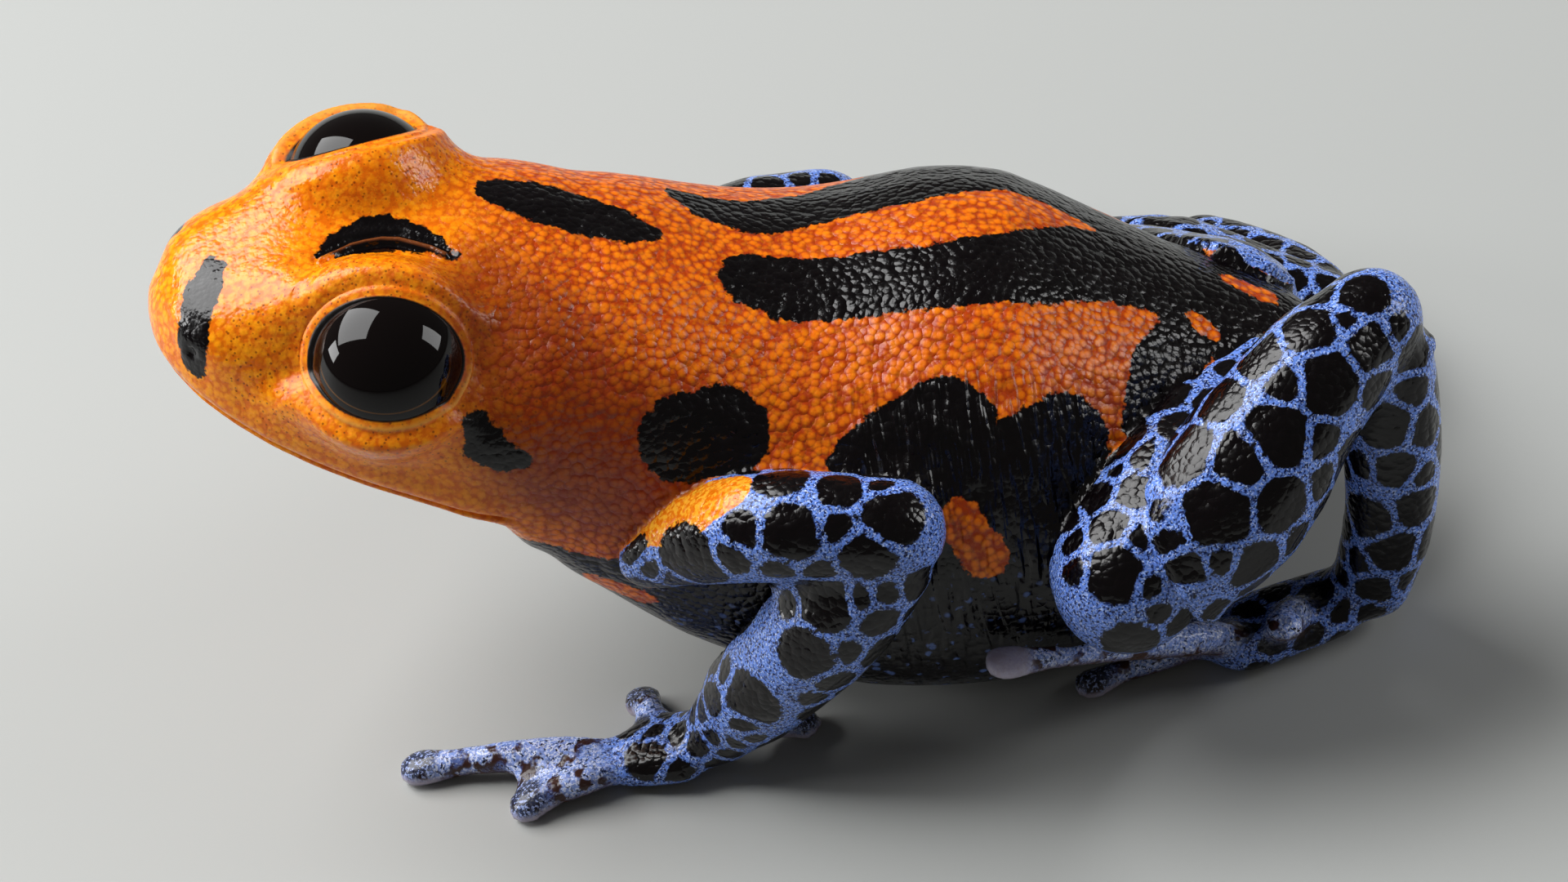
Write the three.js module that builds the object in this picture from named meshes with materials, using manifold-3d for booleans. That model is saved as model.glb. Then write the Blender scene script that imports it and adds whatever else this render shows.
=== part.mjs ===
// A thumbnail poison frog, life size, sitting with its head raised.
// Millimetres, +Z up. The snout points along -X and the frog's left side faces -Y.
// It stands on the plane z = 0, on its toe pads, soles, palms and the middle of its belly.
import * as THREE from 'three';
import { mergeVertices } from 'three/addons/utils/BufferGeometryUtils.js';
import Module from 'manifold-3d';

const wasm = await Module();
wasm.setup();

// Driving dimensions
const SEAM = 0.3;             // clear width of the parting between two neighbouring pieces
const TRUNK_SIDES = 32;       // facets round the head and trunk
const LIMB_SIDES = 12;        // facets round an arm or a leg
const DIGIT_SIDES = 8;        // facets round a finger or a toe
const SHORTEST_EDGE = 0.04;   // finer edges than this are left out
const FRAME_SHIFT = { x: -0.59, y: -1.7 };   // brings the middle of the footprint to the origin

// The side view of head and trunk: height of the back and belly lines and half the width
const PROFILE = [
  { x: -10.75, back: 10.14, belly: 9.22, half: 0.52 },   // tip of the snout
  { x: -10.40, back: 10.55, belly: 8.76, half: 1.20 },
  { x: -9.80, back: 10.80, belly: 8.12, half: 1.88 },    // nostrils
  { x: -8.50, back: 10.90, belly: 7.30, half: 2.80 },
  { x: -7.00, back: 10.75, belly: 6.50, half: 3.40 },    // eyes
  { x: -5.50, back: 10.58, belly: 5.20, half: 3.64 },
  { x: -4.00, back: 10.28, belly: 3.30, half: 3.70 },    // corners of the jaw
  { x: -2.00, back: 9.66, belly: 1.25, half: 3.95 },     // shoulders
  { x: 0.00, back: 8.76, belly: 0.42, half: 4.45 },
  { x: 1.60, back: 8.38, belly: 0.12, half: 4.80 },      // ribs
  { x: 3.20, back: 8.46, belly: -0.04, half: 4.88 },     // sacral hump
  { x: 4.60, back: 8.22, belly: -0.05, half: 4.68 },
  { x: 6.00, back: 7.36, belly: 0.12, half: 4.05 },
  { x: 8.00, back: 6.12, belly: 0.75, half: 2.90 },      // hips
  { x: 9.60, back: 5.28, belly: 2.05, half: 1.75 },
  { x: 10.45, back: 4.62, belly: 3.30, half: 0.75 },     // vent
];
const SNOUT_TIP = { x: -10.87, z: 9.78 };
const TAIL_END = { x: 10.72, z: 3.95 };
const WIDEST_AT = 0.41;       // height of the widest line, as a share of the section's height
const FULLNESS = { head: 2.7, back: 2.15, belly: 2.65 };   // superellipse powers of a section
// The head leans over to its left and turns the same way, in degrees, about its own middle.
// Both are full ahead of `from` and gone behind `to`.
const HEAD_POSE = { lean: 6, turn: 4, middle: -6.5, from: -5, to: 1 };

const NECK = { x: -3.75, z: 6.8, slope: 16 };   // the parting between head and trunk

const EYE = { x: -6.67, y: 2.08, z: 9.72, radius: 1.45 };
const EYE_LOOK = { up: 50, forward: 4 };        // where the opening of the lids faces, degrees
const EYE_OPENING = { long: 1.5, high: 1.14, pitch: 20 };
const EYE_CLEARANCE = 0.2;
const LID_THICKNESS = 0.2;
const BROW = { inward: 0.5, down: 0.5, long: 2.5, across: 1.85, high: 1.75 };   // under the lids

const NOSTRIL = { x: -10.02, z: 9.98, radius: 0.17 };
const MOUTH = { front: 9.46, corner: 6.75, cornerX: -4.85, depth: 0.3, gape: 0.09 };
const LIP = { radius: 0.3, proud: 0.11, above: 0.2 };

// Colours, each with its own roughness, none of them metallic
const COLOURS = {
  head: '#e2790f',
  trunk: '#c9600b',
  limb: '#5c7cc4',
  digit: '#93a3cf',
  eye: '#0b0a10',
};

const radians = THREE.MathUtils.degToRad;
const vec = (x, y, z) => new THREE.Vector3(x, y, z);

// A smooth curve through the stations of a table, monotone between them
function smooth(table, key, x) {
  const last = table.length - 1;
  if (x <= table[0].x) return table[0][key];
  if (x >= table[last].x) return table[last][key];
  let i = 0;
  while (x > table[i + 1].x) i += 1;
  const slope = (a) => (table[a + 1][key] - table[a][key]) / (table[a + 1].x - table[a].x);
  const tangent = (a) => {
    if (a === 0) return slope(0);
    if (a === last) return slope(last - 1);
    const before = slope(a - 1);
    const after = slope(a);
    return before * after <= 0 ? 0 : (2 * before * after) / (before + after);
  };
  const width = table[i + 1].x - table[i].x;
  const t = (x - table[i].x) / width;
  const h00 = 2 * t ** 3 - 3 * t ** 2 + 1;
  const h01 = 1 - h00;
  const h10 = t ** 3 - 2 * t ** 2 + t;
  const h11 = t ** 3 - t ** 2;
  return h00 * table[i][key] + h01 * table[i + 1][key]
    + width * (h10 * tangent(i) + h11 * tangent(i + 1));
}

// A point of the upright, straight frog, moved as the head leans and turns
function posed(point) {
  const share = THREE.MathUtils.smoothstep(-point.x, -HEAD_POSE.to, -HEAD_POSE.from);
  const lean = radians(HEAD_POSE.lean) * share;
  const turn = radians(HEAD_POSE.turn) * share;
  const centre = (smooth(PROFILE, 'back', point.x) + smooth(PROFILE, 'belly', point.x)) / 2;
  const up = point.z - centre;
  const y = point.y * Math.cos(lean) - up * Math.sin(lean);
  const z = centre + point.y * Math.sin(lean) + up * Math.cos(lean);
  const ahead = Math.min(0, point.x - HEAD_POSE.middle);
  return vec(point.x - y * Math.sin(turn), y * Math.cos(turn) + ahead * Math.sin(turn), z);
}

// The upper half of a section is squarer on the head than on the back
function upperFullness(x) {
  const share = THREE.MathUtils.smoothstep(-x, -HEAD_POSE.to, -HEAD_POSE.from);
  return FULLNESS.back + (FULLNESS.head - FULLNESS.back) * share;
}

// Half the width of the upright head or trunk at a place x and a height z
function halfWidthAt(x, z) {
  const back = smooth(PROFILE, 'back', x);
  const belly = smooth(PROFILE, 'belly', x);
  const level = belly + (back - belly) * WIDEST_AT;
  const above = z > level;
  const reach = above ? back - level : level - belly;
  const power = above ? upperFullness(x) : FULLNESS.belly;
  const share = Math.min(1, Math.abs(z - level) / reach);
  return smooth(PROFILE, 'half', x) * (1 - share ** power) ** (1 / power);
}

// A closed surface through rings of points, with a point at each end
function loft(rings, startPole, endPole) {
  const sides = rings[0].length;
  const points = [startPole, ...rings.flat(), endPole];
  const end = points.length - 1;
  const at = (ring, k) => 1 + ring * sides + (k % sides);
  const index = [];
  for (let k = 0; k < sides; k += 1) {
    index.push(0, at(0, k + 1), at(0, k));
    for (let ring = 0; ring < rings.length - 1; ring += 1) {
      index.push(at(ring, k), at(ring, k + 1), at(ring + 1, k + 1));
      index.push(at(ring, k), at(ring + 1, k + 1), at(ring + 1, k));
    }
    index.push(end, at(rings.length - 1, k), at(rings.length - 1, k + 1));
  }
  const geometry = new THREE.BufferGeometry().setFromPoints(points);
  geometry.setIndex(index);
  return geometry;
}

// Joining and cutting
function solidOf(geometry) {
  const bare = geometry.clone();
  bare.deleteAttribute('normal');
  bare.deleteAttribute('uv');
  const merged = mergeVertices(bare, 1e-5);
  const triVerts = Uint32Array.from(merged.index.array);
  const vertProperties = Float32Array.from(merged.attributes.position.array);
  const solid = new wasm.Manifold(new wasm.Mesh({ numProp: 3, vertProperties, triVerts }));
  if (solid.volume() >= 0) return solid;
  const turned = triVerts.slice();
  for (let i = 0; i < turned.length; i += 3) {
    turned[i] = triVerts[i + 1];
    turned[i + 1] = triVerts[i];
  }
  return new wasm.Manifold(new wasm.Mesh({ numProp: 3, vertProperties, triVerts: turned }));
}

function largestOf(solid) {
  return solid.decompose().reduce((a, b) => (a.volume() > b.volume() ? a : b));
}

// The triangles of a solid, with the very short edges that a cut leaves drawn together
function tidyTriangles(mesh) {
  const points = [];
  for (let i = 0; i < mesh.vertProperties.length; i += 3) {
    points.push(new THREE.Vector3().fromArray(mesh.vertProperties, i));
  }
  const fans = points.map(() => new Set());
  const faces = new Set();
  for (let i = 0; i < mesh.triVerts.length; i += 3) {
    const face = [...mesh.triVerts.slice(i, i + 3)];
    faces.add(face);
    for (const corner of face) fans[corner].add(face);
  }
  const ringOf = (corner) => new Set([...fans[corner]].flat());
  const drawTogether = (keep, drop) => {
    const ring = ringOf(drop);
    const shared = [...ringOf(keep)].filter((other) => ring.has(other));
    if (shared.length !== 4) return;
    for (const face of [...fans[drop]]) {
      if (face.includes(keep)) {
        faces.delete(face);
        for (const corner of face) fans[corner].delete(face);
      } else {
        face[face.indexOf(drop)] = keep;
        fans[keep].add(face);
      }
    }
  };
  for (const face of [...faces]) {
    for (let k = 0; k < 3 && faces.has(face); k += 1) {
      const keep = face[k];
      const drop = face[(k + 1) % 3];
      if (points[keep].distanceTo(points[drop]) < SHORTEST_EDGE) drawTogether(keep, drop);
    }
  }
  return { points, index: [...faces].flat() };
}

function geometryOf(solid) {
  const { points, index } = tidyTriangles(solid.getMesh());
  const geometry = new THREE.BufferGeometry().setFromPoints(points);
  geometry.setIndex(index);
  geometry.computeVertexNormals();
  return geometry;
}

function placed(geometry, matrix) {
  return solidOf(geometry.clone().applyMatrix4(matrix));
}

const FLOOR = placed(
  new THREE.BoxGeometry(60, 60, 10),
  new THREE.Matrix4().makeTranslation(0, 0, -5),
);

// Head and trunk in one, made fatter by `grow` where a neighbour is cut to fit it
function trunkSection(x, grow) {
  const back = smooth(PROFILE, 'back', x) + grow;
  const belly = smooth(PROFILE, 'belly', x) - grow;
  const half = smooth(PROFILE, 'half', x) + grow;
  const level = belly + (back - belly) * WIDEST_AT;
  const ring = [];
  for (let k = 0; k < TRUNK_SIDES; k += 1) {
    const turn = (2 * Math.PI * k) / TRUNK_SIDES;
    const side = Math.cos(turn);
    const rise = Math.sin(turn);
    const power = 2 / (rise > 0 ? upperFullness(x) : FULLNESS.belly);
    const reach = rise > 0 ? back - level : level - belly;
    const y = half * Math.sign(side) * Math.abs(side) ** power;
    const z = level + reach * Math.sign(rise) * Math.abs(rise) ** power;
    ring.push(posed(vec(x, y, z)));
  }
  return ring;
}

function headAndTrunk(grow) {
  const rings = [];
  const first = PROFILE[0].x;
  const last = PROFILE[PROFILE.length - 1].x;
  const count = 32;
  for (let i = 0; i <= count; i += 1) {
    const t = i / count;
    const x = first + (last - first) * (0.7 * t + 0.3 * t ** 2);
    rings.push(trunkSection(x, grow));
  }
  return solidOf(loft(
    rings,
    vec(SNOUT_TIP.x - grow, 0, SNOUT_TIP.z),
    vec(TAIL_END.x + grow, 0, TAIL_END.z),
  ));
}

// The two sides of the neck, with half the seam taken from each
function neckBox(direction) {
  const size = 40;
  const offset = direction * (size / 2 + SEAM / 2);
  const matrix = new THREE.Matrix4().makeTranslation(NECK.x, 0, NECK.z)
    .multiply(new THREE.Matrix4().makeRotationY(radians(NECK.slope)))
    .multiply(new THREE.Matrix4().makeTranslation(offset, 0, 0));
  return placed(new THREE.BoxGeometry(size, size, size), matrix);
}

// The eyes and what surrounds them
function eyeCentre(side) {
  return posed(vec(EYE.x, side * EYE.y, EYE.z));
}

function ball(centre, radius, detail) {
  return oval(centre, [radius, radius, radius], detail);
}

function oval(centre, radii, detail) {
  const geometry = new THREE.SphereGeometry(1, detail, Math.round(detail * 0.6));
  geometry.scale(...radii);
  return placed(geometry, new THREE.Matrix4().makeTranslation(centre.x, centre.y, centre.z));
}

function lidOpening(side) {
  const up = radians(EYE_LOOK.up);
  const forward = radians(EYE_LOOK.forward);
  const look = vec(
    -Math.sin(forward) * Math.cos(up),
    side * Math.cos(forward) * Math.cos(up),
    Math.sin(up),
  );
  const pitch = radians(EYE_OPENING.pitch);
  const along = vec(-Math.cos(pitch), 0, Math.sin(pitch));
  along.addScaledVector(look, -along.dot(look)).normalize();
  const across = look.clone().cross(along).normalize();
  const reach = 4;
  const geometry = new THREE.CylinderGeometry(1, 1, reach, 24);
  geometry.translate(0, reach / 2 + 0.2, 0);
  geometry.scale(EYE_OPENING.long, 1, EYE_OPENING.high);
  const centre = eyeCentre(side);
  const matrix = new THREE.Matrix4().makeBasis(along, look, across);
  matrix.setPosition(centre);
  return placed(geometry, matrix);
}

// The line of the mouth, from one corner round the snout to the other
function mouthLine(height) {
  const line = [];
  const count = 10;
  for (let i = -count; i <= count; i += 1) {
    const turn = (Math.PI / 2) * (Math.abs(i) / count);
    const front = SNOUT_TIP.x + 0.12;
    const x = front + (MOUTH.cornerX - front) * (1 - Math.cos(turn));
    const share = (x - front) / (MOUTH.cornerX - front);
    const z = MOUTH.front + (MOUTH.corner - MOUTH.front) * share + height;
    line.push(posed(vec(x, Math.sign(i) * halfWidthAt(x, z), z)));
  }
  return line;
}

// A bar of few sides that follows the mouth line: across it `wide`, up and down `high`
function mouthBar(height, inset, wide, high, sides) {
  const line = mouthLine(height);
  const rings = line.map((point, i) => {
    const before = line[Math.max(0, i - 1)];
    const after = line[Math.min(line.length - 1, i + 1)];
    const along = after.clone().sub(before).normalize();
    const out = along.clone().cross(vec(0, 0, 1)).normalize();
    if (out.dot(point.clone().sub(vec(-5, 0, point.z))) < 0) out.negate();
    const centre = point.clone().addScaledVector(out, -inset);
    const fade = i === 0 || i === line.length - 1 ? 0.4 : 1;
    const ring = [];
    for (let k = 0; k < sides; k += 1) {
      const turn = (2 * Math.PI * k) / sides;
      const corner = centre.clone().addScaledVector(out, fade * wide * Math.cos(turn));
      corner.z += fade * high * Math.sin(turn);
      ring.push(corner);
    }
    return ring;
  });
  const first = line[0].clone().lerp(line[1], -0.15);
  const last = line[line.length - 1].clone().lerp(line[line.length - 2], -0.15);
  return solidOf(loft(rings, first, last));
}

function head(whole) {
  let solid = whole.intersect(neckBox(-1));
  for (const height of [LIP.above, -LIP.above]) {
    const inset = LIP.radius - LIP.proud;
    solid = solid.add(mouthBar(height, inset, LIP.radius, LIP.radius, 6));
  }
  const socket = EYE.radius + EYE_CLEARANCE;
  for (const side of [-1, 1]) {
    const brow = posed(vec(EYE.x, side * (EYE.y - BROW.inward), EYE.z - BROW.down));
    solid = solid.add(oval(brow, [BROW.long, BROW.across, BROW.high], 20));
    solid = solid.add(ball(eyeCentre(side), socket + LID_THICKNESS, 22));
  }
  for (const side of [-1, 1]) {
    const pitY = side * halfWidthAt(NOSTRIL.x, NOSTRIL.z);
    solid = solid.subtract(ball(eyeCentre(side), socket, 20));
    solid = solid.subtract(lidOpening(side));
    solid = solid.subtract(ball(posed(vec(NOSTRIL.x, pitY, NOSTRIL.z)), NOSTRIL.radius, 8));
  }
  return solid.subtract(mouthBar(0, 0, MOUTH.depth, MOUTH.gape, 4));
}

// A round or flattened limb along a path. Each station is [x, y, z, half width, half height].
function limb(stations, grow, sides, spacing) {
  const path = new THREE.CatmullRomCurve3(stations.map((s) => vec(s[0], s[1], s[2])));
  const spans = stations.length - 1;
  const size = (u, item) => {
    const i = Math.min(spans - 1, Math.floor(u * spans));
    const t = THREE.MathUtils.smoothstep(u * spans - i, 0, 1);
    return stations[i][item] * (1 - t) + stations[i + 1][item] * t + grow;
  };
  const across = vec(0, 0, 1).cross(path.getTangent(0)).normalize();
  const ringAt = (u, slide, share) => {
    const along = path.getTangent(u);
    across.addScaledVector(along, -across.dot(along)).normalize();
    const rise = along.clone().cross(across);
    const centre = path.getPoint(u).addScaledVector(along, slide);
    const ring = [];
    for (let k = 0; k < sides; k += 1) {
      const turn = (2 * Math.PI * (k + 0.5)) / sides;
      ring.push(centre.clone()
        .addScaledVector(across, share * size(u, 3) * Math.cos(turn))
        .addScaledVector(rise, share * size(u, 4) * Math.sin(turn)));
    }
    return ring;
  };
  const capAngles = sides > 10 ? [25, 50, 75] : [35, 68];
  const rings = [];
  for (const angle of capAngles) {
    const turn = radians(angle);
    rings.push(ringAt(0, -size(0, 3) * Math.cos(turn), Math.sin(turn)));
  }
  const steps = Math.max(2, Math.round(path.getLength() / spacing));
  for (let i = 0; i <= steps; i += 1) rings.push(ringAt(i / steps, 0, 1));
  for (const angle of [...capAngles].reverse()) {
    const turn = radians(angle);
    rings.push(ringAt(1, size(1, 3) * Math.cos(turn), Math.sin(turn)));
  }
  const start = path.getPoint(0).addScaledVector(path.getTangent(0), -size(0, 3));
  const end = path.getPoint(1).addScaledVector(path.getTangent(1), size(1, 3));
  return solidOf(loft(rings, start, end));
}

// Limbs of the left side as they lie; `side` is -1 for the left and 1 for the right
const LIMBS = [
  {
    name: 'upper_arm_left',
    stations: [[-2.5, -3.45, 5.25, 0.88, 0.88], [-0.2, -4.75, 6.5, 1.04, 1.04],
      [1.95, -5.15, 6.35, 1.0, 1.0]],
  },
  {
    name: 'forearm_left',
    stations: [[1.9, -5.25, 5.95, 1.0, 1.0], [0.5, -5.1, 4.2, 1.15, 1.15],
      [-0.95, -4.6, 2.3, 1.02, 1.02], [-1.85, -4.2, 1.0, 0.76, 0.68]],
  },
  {
    name: 'hand_left',
    stations: [[-1.7, -4.15, 0.88, 0.74, 0.64], [-2.6, -4.15, 0.56, 0.84, 0.5],
      [-3.4, -4.1, 0.42, 0.72, 0.45]],
  },
  {
    name: 'upper_arm_right',
    stations: [[-2.4, 3.1, 4.6, 1.05, 1.05], [-0.6, 4.35, 5.15, 1.08, 1.08],
      [1.15, 5.2, 4.6, 0.98, 0.98]],
  },
  {
    name: 'forearm_right',
    stations: [[1.05, 5.4, 4.4, 0.95, 0.95], [0.3, 5.6, 3.1, 1.1, 1.1],
      [-0.8, 5.55, 1.8, 0.98, 0.95], [-1.8, 5.4, 0.98, 0.74, 0.66]],
  },
  {
    name: 'hand_right',
    stations: [[-1.65, 5.4, 0.88, 0.7, 0.64], [-2.4, 5.5, 0.56, 0.82, 0.5],
      [-3.1, 5.6, 0.42, 0.72, 0.45]],
  },
  {
    name: 'thigh_left',
    stations: [[8.3, -1.3, 4.3, 1.7, 1.7], [7.2, -3.4, 4.6, 1.65, 1.65],
      [5.95, -5.15, 4.3, 1.4, 1.45]],
  },
  {
    name: 'shank_left',
    stations: [[6.2, -5.3, 4.2, 1.3, 1.35], [8.0, -4.6, 5.45, 1.58, 1.58],
      [9.8, -3.3, 6.8, 1.25, 1.25], [10.95, -2.45, 7.2, 1.0, 1.0]],
  },
  {
    name: 'tarsus_left',
    stations: [[11.1, -2.4, 6.9, 0.97, 0.95], [11.1, -2.7, 4.8, 0.95, 0.92],
      [10.85, -2.85, 2.5, 0.86, 0.84], [10.4, -2.85, 1.0, 0.78, 0.7]],
  },
  {
    name: 'foot_left',
    stations: [[10.4, -2.85, 0.85, 0.75, 0.68], [9.3, -2.95, 0.6, 0.85, 0.52],
      [8.0, -3.2, 0.44, 0.9, 0.46]],
  },
  {
    name: 'thigh_right',
    stations: [[8.3, 1.3, 4.0, 1.7, 1.7], [7.1, 3.0, 3.1, 1.6, 1.6],
      [5.8, 4.7, 2.35, 1.35, 1.35]],
  },
  {
    name: 'shank_right',
    stations: [[6.0, 4.9, 2.2, 1.25, 1.25], [7.6, 4.5, 2.05, 1.5, 1.45],
      [9.2, 3.9, 1.85, 1.2, 1.15], [10.3, 3.5, 1.75, 0.95, 0.92]],
  },
  {
    name: 'tarsus_right',
    stations: [[10.35, 3.7, 1.55, 0.88, 0.84], [9.9, 4.9, 1.3, 0.84, 0.8],
      [9.0, 6.1, 1.05, 0.78, 0.72], [8.2, 6.9, 0.85, 0.72, 0.64]],
  },
  {
    name: 'foot_right',
    stations: [[8.1, 7.0, 0.78, 0.72, 0.64], [7.1, 7.4, 0.56, 0.85, 0.5],
      [5.9, 7.7, 0.42, 0.9, 0.45]],
  },
];

// Fingers and toes: where the root lies, where the pad lies, and how far the middle is lifted
const DIGITS = [
  { name: 'finger_1_left', root: [-2.1, -4.0, 0.45], pad: [-0.45, -3.65, 0.24], lift: 0.1 },
  { name: 'finger_2_left', root: [-2.9, -4.0, 0.45], pad: [-3.35, -2.55, 0.24], lift: 0.15 },
  { name: 'finger_3_left', root: [-3.4, -4.0, 0.42], pad: [-7.6, -3.45, 0.24], lift: 0.15 },
  { name: 'finger_4_left', root: [-3.2, -4.3, 0.42], pad: [-5.6, -4.75, 0.24], lift: 0.15 },
  { name: 'finger_1_right', root: [-2.1, 5.4, 0.45], pad: [-1.8, 3.9, 0.24], lift: 0.1 },
  { name: 'finger_2_right', root: [-2.9, 5.4, 0.45], pad: [-4.1, 4.5, 0.24], lift: 0.15 },
  { name: 'finger_3_right', root: [-3.1, 5.6, 0.42], pad: [-6.3, 6.2, 0.24], lift: 0.15 },
  { name: 'finger_4_right', root: [-2.9, 5.8, 0.42], pad: [-4.6, 7.2, 0.24], lift: 0.15 },
  { name: 'toe_1_left', root: [8.5, -2.9, 0.45], pad: [7.5, -1.9, 0.24], lift: 0.1 },
  { name: 'toe_2_left', root: [8.1, -3.0, 0.45], pad: [6.2, -2.55, 0.24], lift: 0.1 },
  { name: 'toe_3_left', root: [7.8, -3.2, 0.42], pad: [5.05, -3.65, 0.24], lift: 0.1 },
  { name: 'toe_4_left', root: [7.9, -3.5, 0.7], pad: [3.54, -5.42, 2.87], lift: 0.1 },
  { name: 'toe_5_left', root: [9.05, -3.1, 0.75], pad: [8.68, -4.0, 1.35], lift: 0.15 },
  { name: 'toe_1_right', root: [6.5, 7.2, 0.45], pad: [5.3, 6.5, 0.24], lift: 0.1 },
  { name: 'toe_2_right', root: [6.0, 7.4, 0.45], pad: [3.9, 7.1, 0.24], lift: 0.1 },
  { name: 'toe_3_right', root: [5.8, 7.7, 0.42], pad: [2.7, 8.1, 0.24], lift: 0.1 },
  { name: 'toe_4_right', root: [5.8, 7.9, 0.42], pad: [1.7, 9.1, 0.24], lift: 0.15 },
  { name: 'toe_5_right', root: [6.3, 8.1, 0.45], pad: [4.1, 9.5, 0.24], lift: 0.1 },
];
const DIGIT = { root: 0.38, neck: 0.29, pad: 0.44, padThickness: 0.3 };

function digit(item, grow) {
  const root = vec(...item.root);
  const pad = vec(...item.pad);
  const middle = root.clone().lerp(pad, 0.5).add(vec(0, 0, item.lift));
  const neck = root.clone().lerp(pad, 0.82).add(vec(0, 0, item.lift * 0.55));
  const stations = [
    [...root.toArray(), DIGIT.root, DIGIT.root],
    [...middle.toArray(), (DIGIT.root + DIGIT.neck) / 2, (DIGIT.root + DIGIT.neck) / 2],
    [...neck.toArray(), DIGIT.neck, DIGIT.neck],
    [...pad.toArray(), DIGIT.pad, DIGIT.padThickness],
  ];
  return limb(stations, grow, DIGIT_SIDES, 0.42);
}

// Each piece is cut clear of the pieces before it, where they come near each other
function near(a, b) {
  const p = a.boundingBox();
  const q = b.boundingBox();
  return [0, 1, 2].every((i) => p.min[i] < q.max[i] && q.min[i] < p.max[i]);
}

const frog = new THREE.Group();
frog.name = 'thumbnail_poison_frog';
frog.position.set(FRAME_SHIFT.x, FRAME_SHIFT.y, 0);

function addPiece(name, solid, colour, roughness) {
  const material = new THREE.MeshStandardMaterial({ color: colour, roughness, metalness: 0 });
  const mesh = new THREE.Mesh(geometryOf(solid), material);
  mesh.name = name;
  frog.add(mesh);
}

const whole = headAndTrunk(0);
addPiece('head', largestOf(head(whole)), COLOURS.head, 0.45);
addPiece('torso', largestOf(whole.intersect(neckBox(1)).subtract(FLOOR)), COLOURS.trunk, 0.45);
addPiece('eye_left', ball(eyeCentre(-1), EYE.radius, 20), COLOURS.eye, 0.05);
addPiece('eye_right', ball(eyeCentre(1), EYE.radius, 20), COLOURS.eye, 0.05);

const keepClear = [headAndTrunk(SEAM)];
const pieces = [
  ...LIMBS.map((item) => ({
    name: item.name,
    colour: COLOURS.limb,
    make: (grow) => limb(item.stations, grow, LIMB_SIDES, 0.75),
  })),
  ...DIGITS.map((item) => ({
    name: item.name,
    colour: COLOURS.digit,
    make: (grow) => digit(item, grow),
  })),
];
for (const piece of pieces) {
  let solid = piece.make(0).subtract(FLOOR);
  for (const other of keepClear) if (near(solid, other)) solid = solid.subtract(other);
  keepClear.push(piece.make(SEAM));
  addPiece(piece.name, largestOf(solid), piece.colour, 0.4);
}

export default frog;
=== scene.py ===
# %% [markdown]
# # A thumbnail poison frog, life size
#
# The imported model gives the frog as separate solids: head, trunk, eyes, limbs and digits.
# A real frog has one moist skin over all of them. This lesson grows that skin, shapes its
# lids, mouth and folds, paints its markings, and sets two wet eyes in it. The solids come
# in metres, so a frog of 22 mm is tiny here; most shaping is done at a thousand times that
# size, where one unit is a millimetre, and the finished piece is shrunk again.

# %% Load the frame
import math

import bpy
import numpy as np
from mathutils import Matrix, Vector
from mathutils.bvhtree import BVHTree


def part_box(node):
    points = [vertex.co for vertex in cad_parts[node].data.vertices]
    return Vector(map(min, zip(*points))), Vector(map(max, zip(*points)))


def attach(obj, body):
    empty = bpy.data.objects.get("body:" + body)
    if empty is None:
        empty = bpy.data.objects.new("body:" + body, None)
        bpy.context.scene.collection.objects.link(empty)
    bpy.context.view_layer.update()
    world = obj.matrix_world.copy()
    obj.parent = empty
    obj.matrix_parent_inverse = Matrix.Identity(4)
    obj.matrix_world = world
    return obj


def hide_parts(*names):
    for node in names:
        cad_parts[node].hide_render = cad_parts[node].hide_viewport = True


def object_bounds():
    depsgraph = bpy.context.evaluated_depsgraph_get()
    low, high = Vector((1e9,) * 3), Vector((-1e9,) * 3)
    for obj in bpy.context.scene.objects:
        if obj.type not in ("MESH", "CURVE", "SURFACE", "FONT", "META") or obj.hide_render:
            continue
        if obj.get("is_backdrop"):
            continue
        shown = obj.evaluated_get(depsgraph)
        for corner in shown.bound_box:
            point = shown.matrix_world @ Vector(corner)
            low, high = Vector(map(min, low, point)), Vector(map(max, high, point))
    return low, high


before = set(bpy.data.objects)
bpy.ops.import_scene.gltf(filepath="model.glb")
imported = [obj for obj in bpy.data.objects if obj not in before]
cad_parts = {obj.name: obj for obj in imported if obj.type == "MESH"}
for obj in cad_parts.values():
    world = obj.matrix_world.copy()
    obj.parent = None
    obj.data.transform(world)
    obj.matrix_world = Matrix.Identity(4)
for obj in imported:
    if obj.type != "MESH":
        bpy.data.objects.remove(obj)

MM = 0.001
CAD_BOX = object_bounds()
FLESH = sorted(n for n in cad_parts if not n.startswith("eye_"))
FROG_ZERO = np.array((-0.59, -1.7, 0.0))    # mm: the frog's own zero, in the frame
print(len(FLESH), "flesh solids; box", [round(x / MM, 2) for corner in CAD_BOX for x in corner])

# %% [markdown]
# ## The camera
#
# The frog is seen from its left and from well above, and the picture is tilted: the
# snout points to the left. Three angles say all of it: how far round, how far down and how
# much roll. A long lens keeps the perspective as flat as in a close-up photograph.

# %% Camera
VIEW_ROUND, VIEW_DOWN, VIEW_ROLL = (math.radians(a) for a in (4, 44, 11))
VIEW_MIDDLE = np.array((0.0, -0.05, 4.0)) + FROG_ZERO    # mm
PHOTO_WIDTH, PIXELS_PER_MM = 1920, 66
LENS, SENSOR = 180, 36

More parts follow.
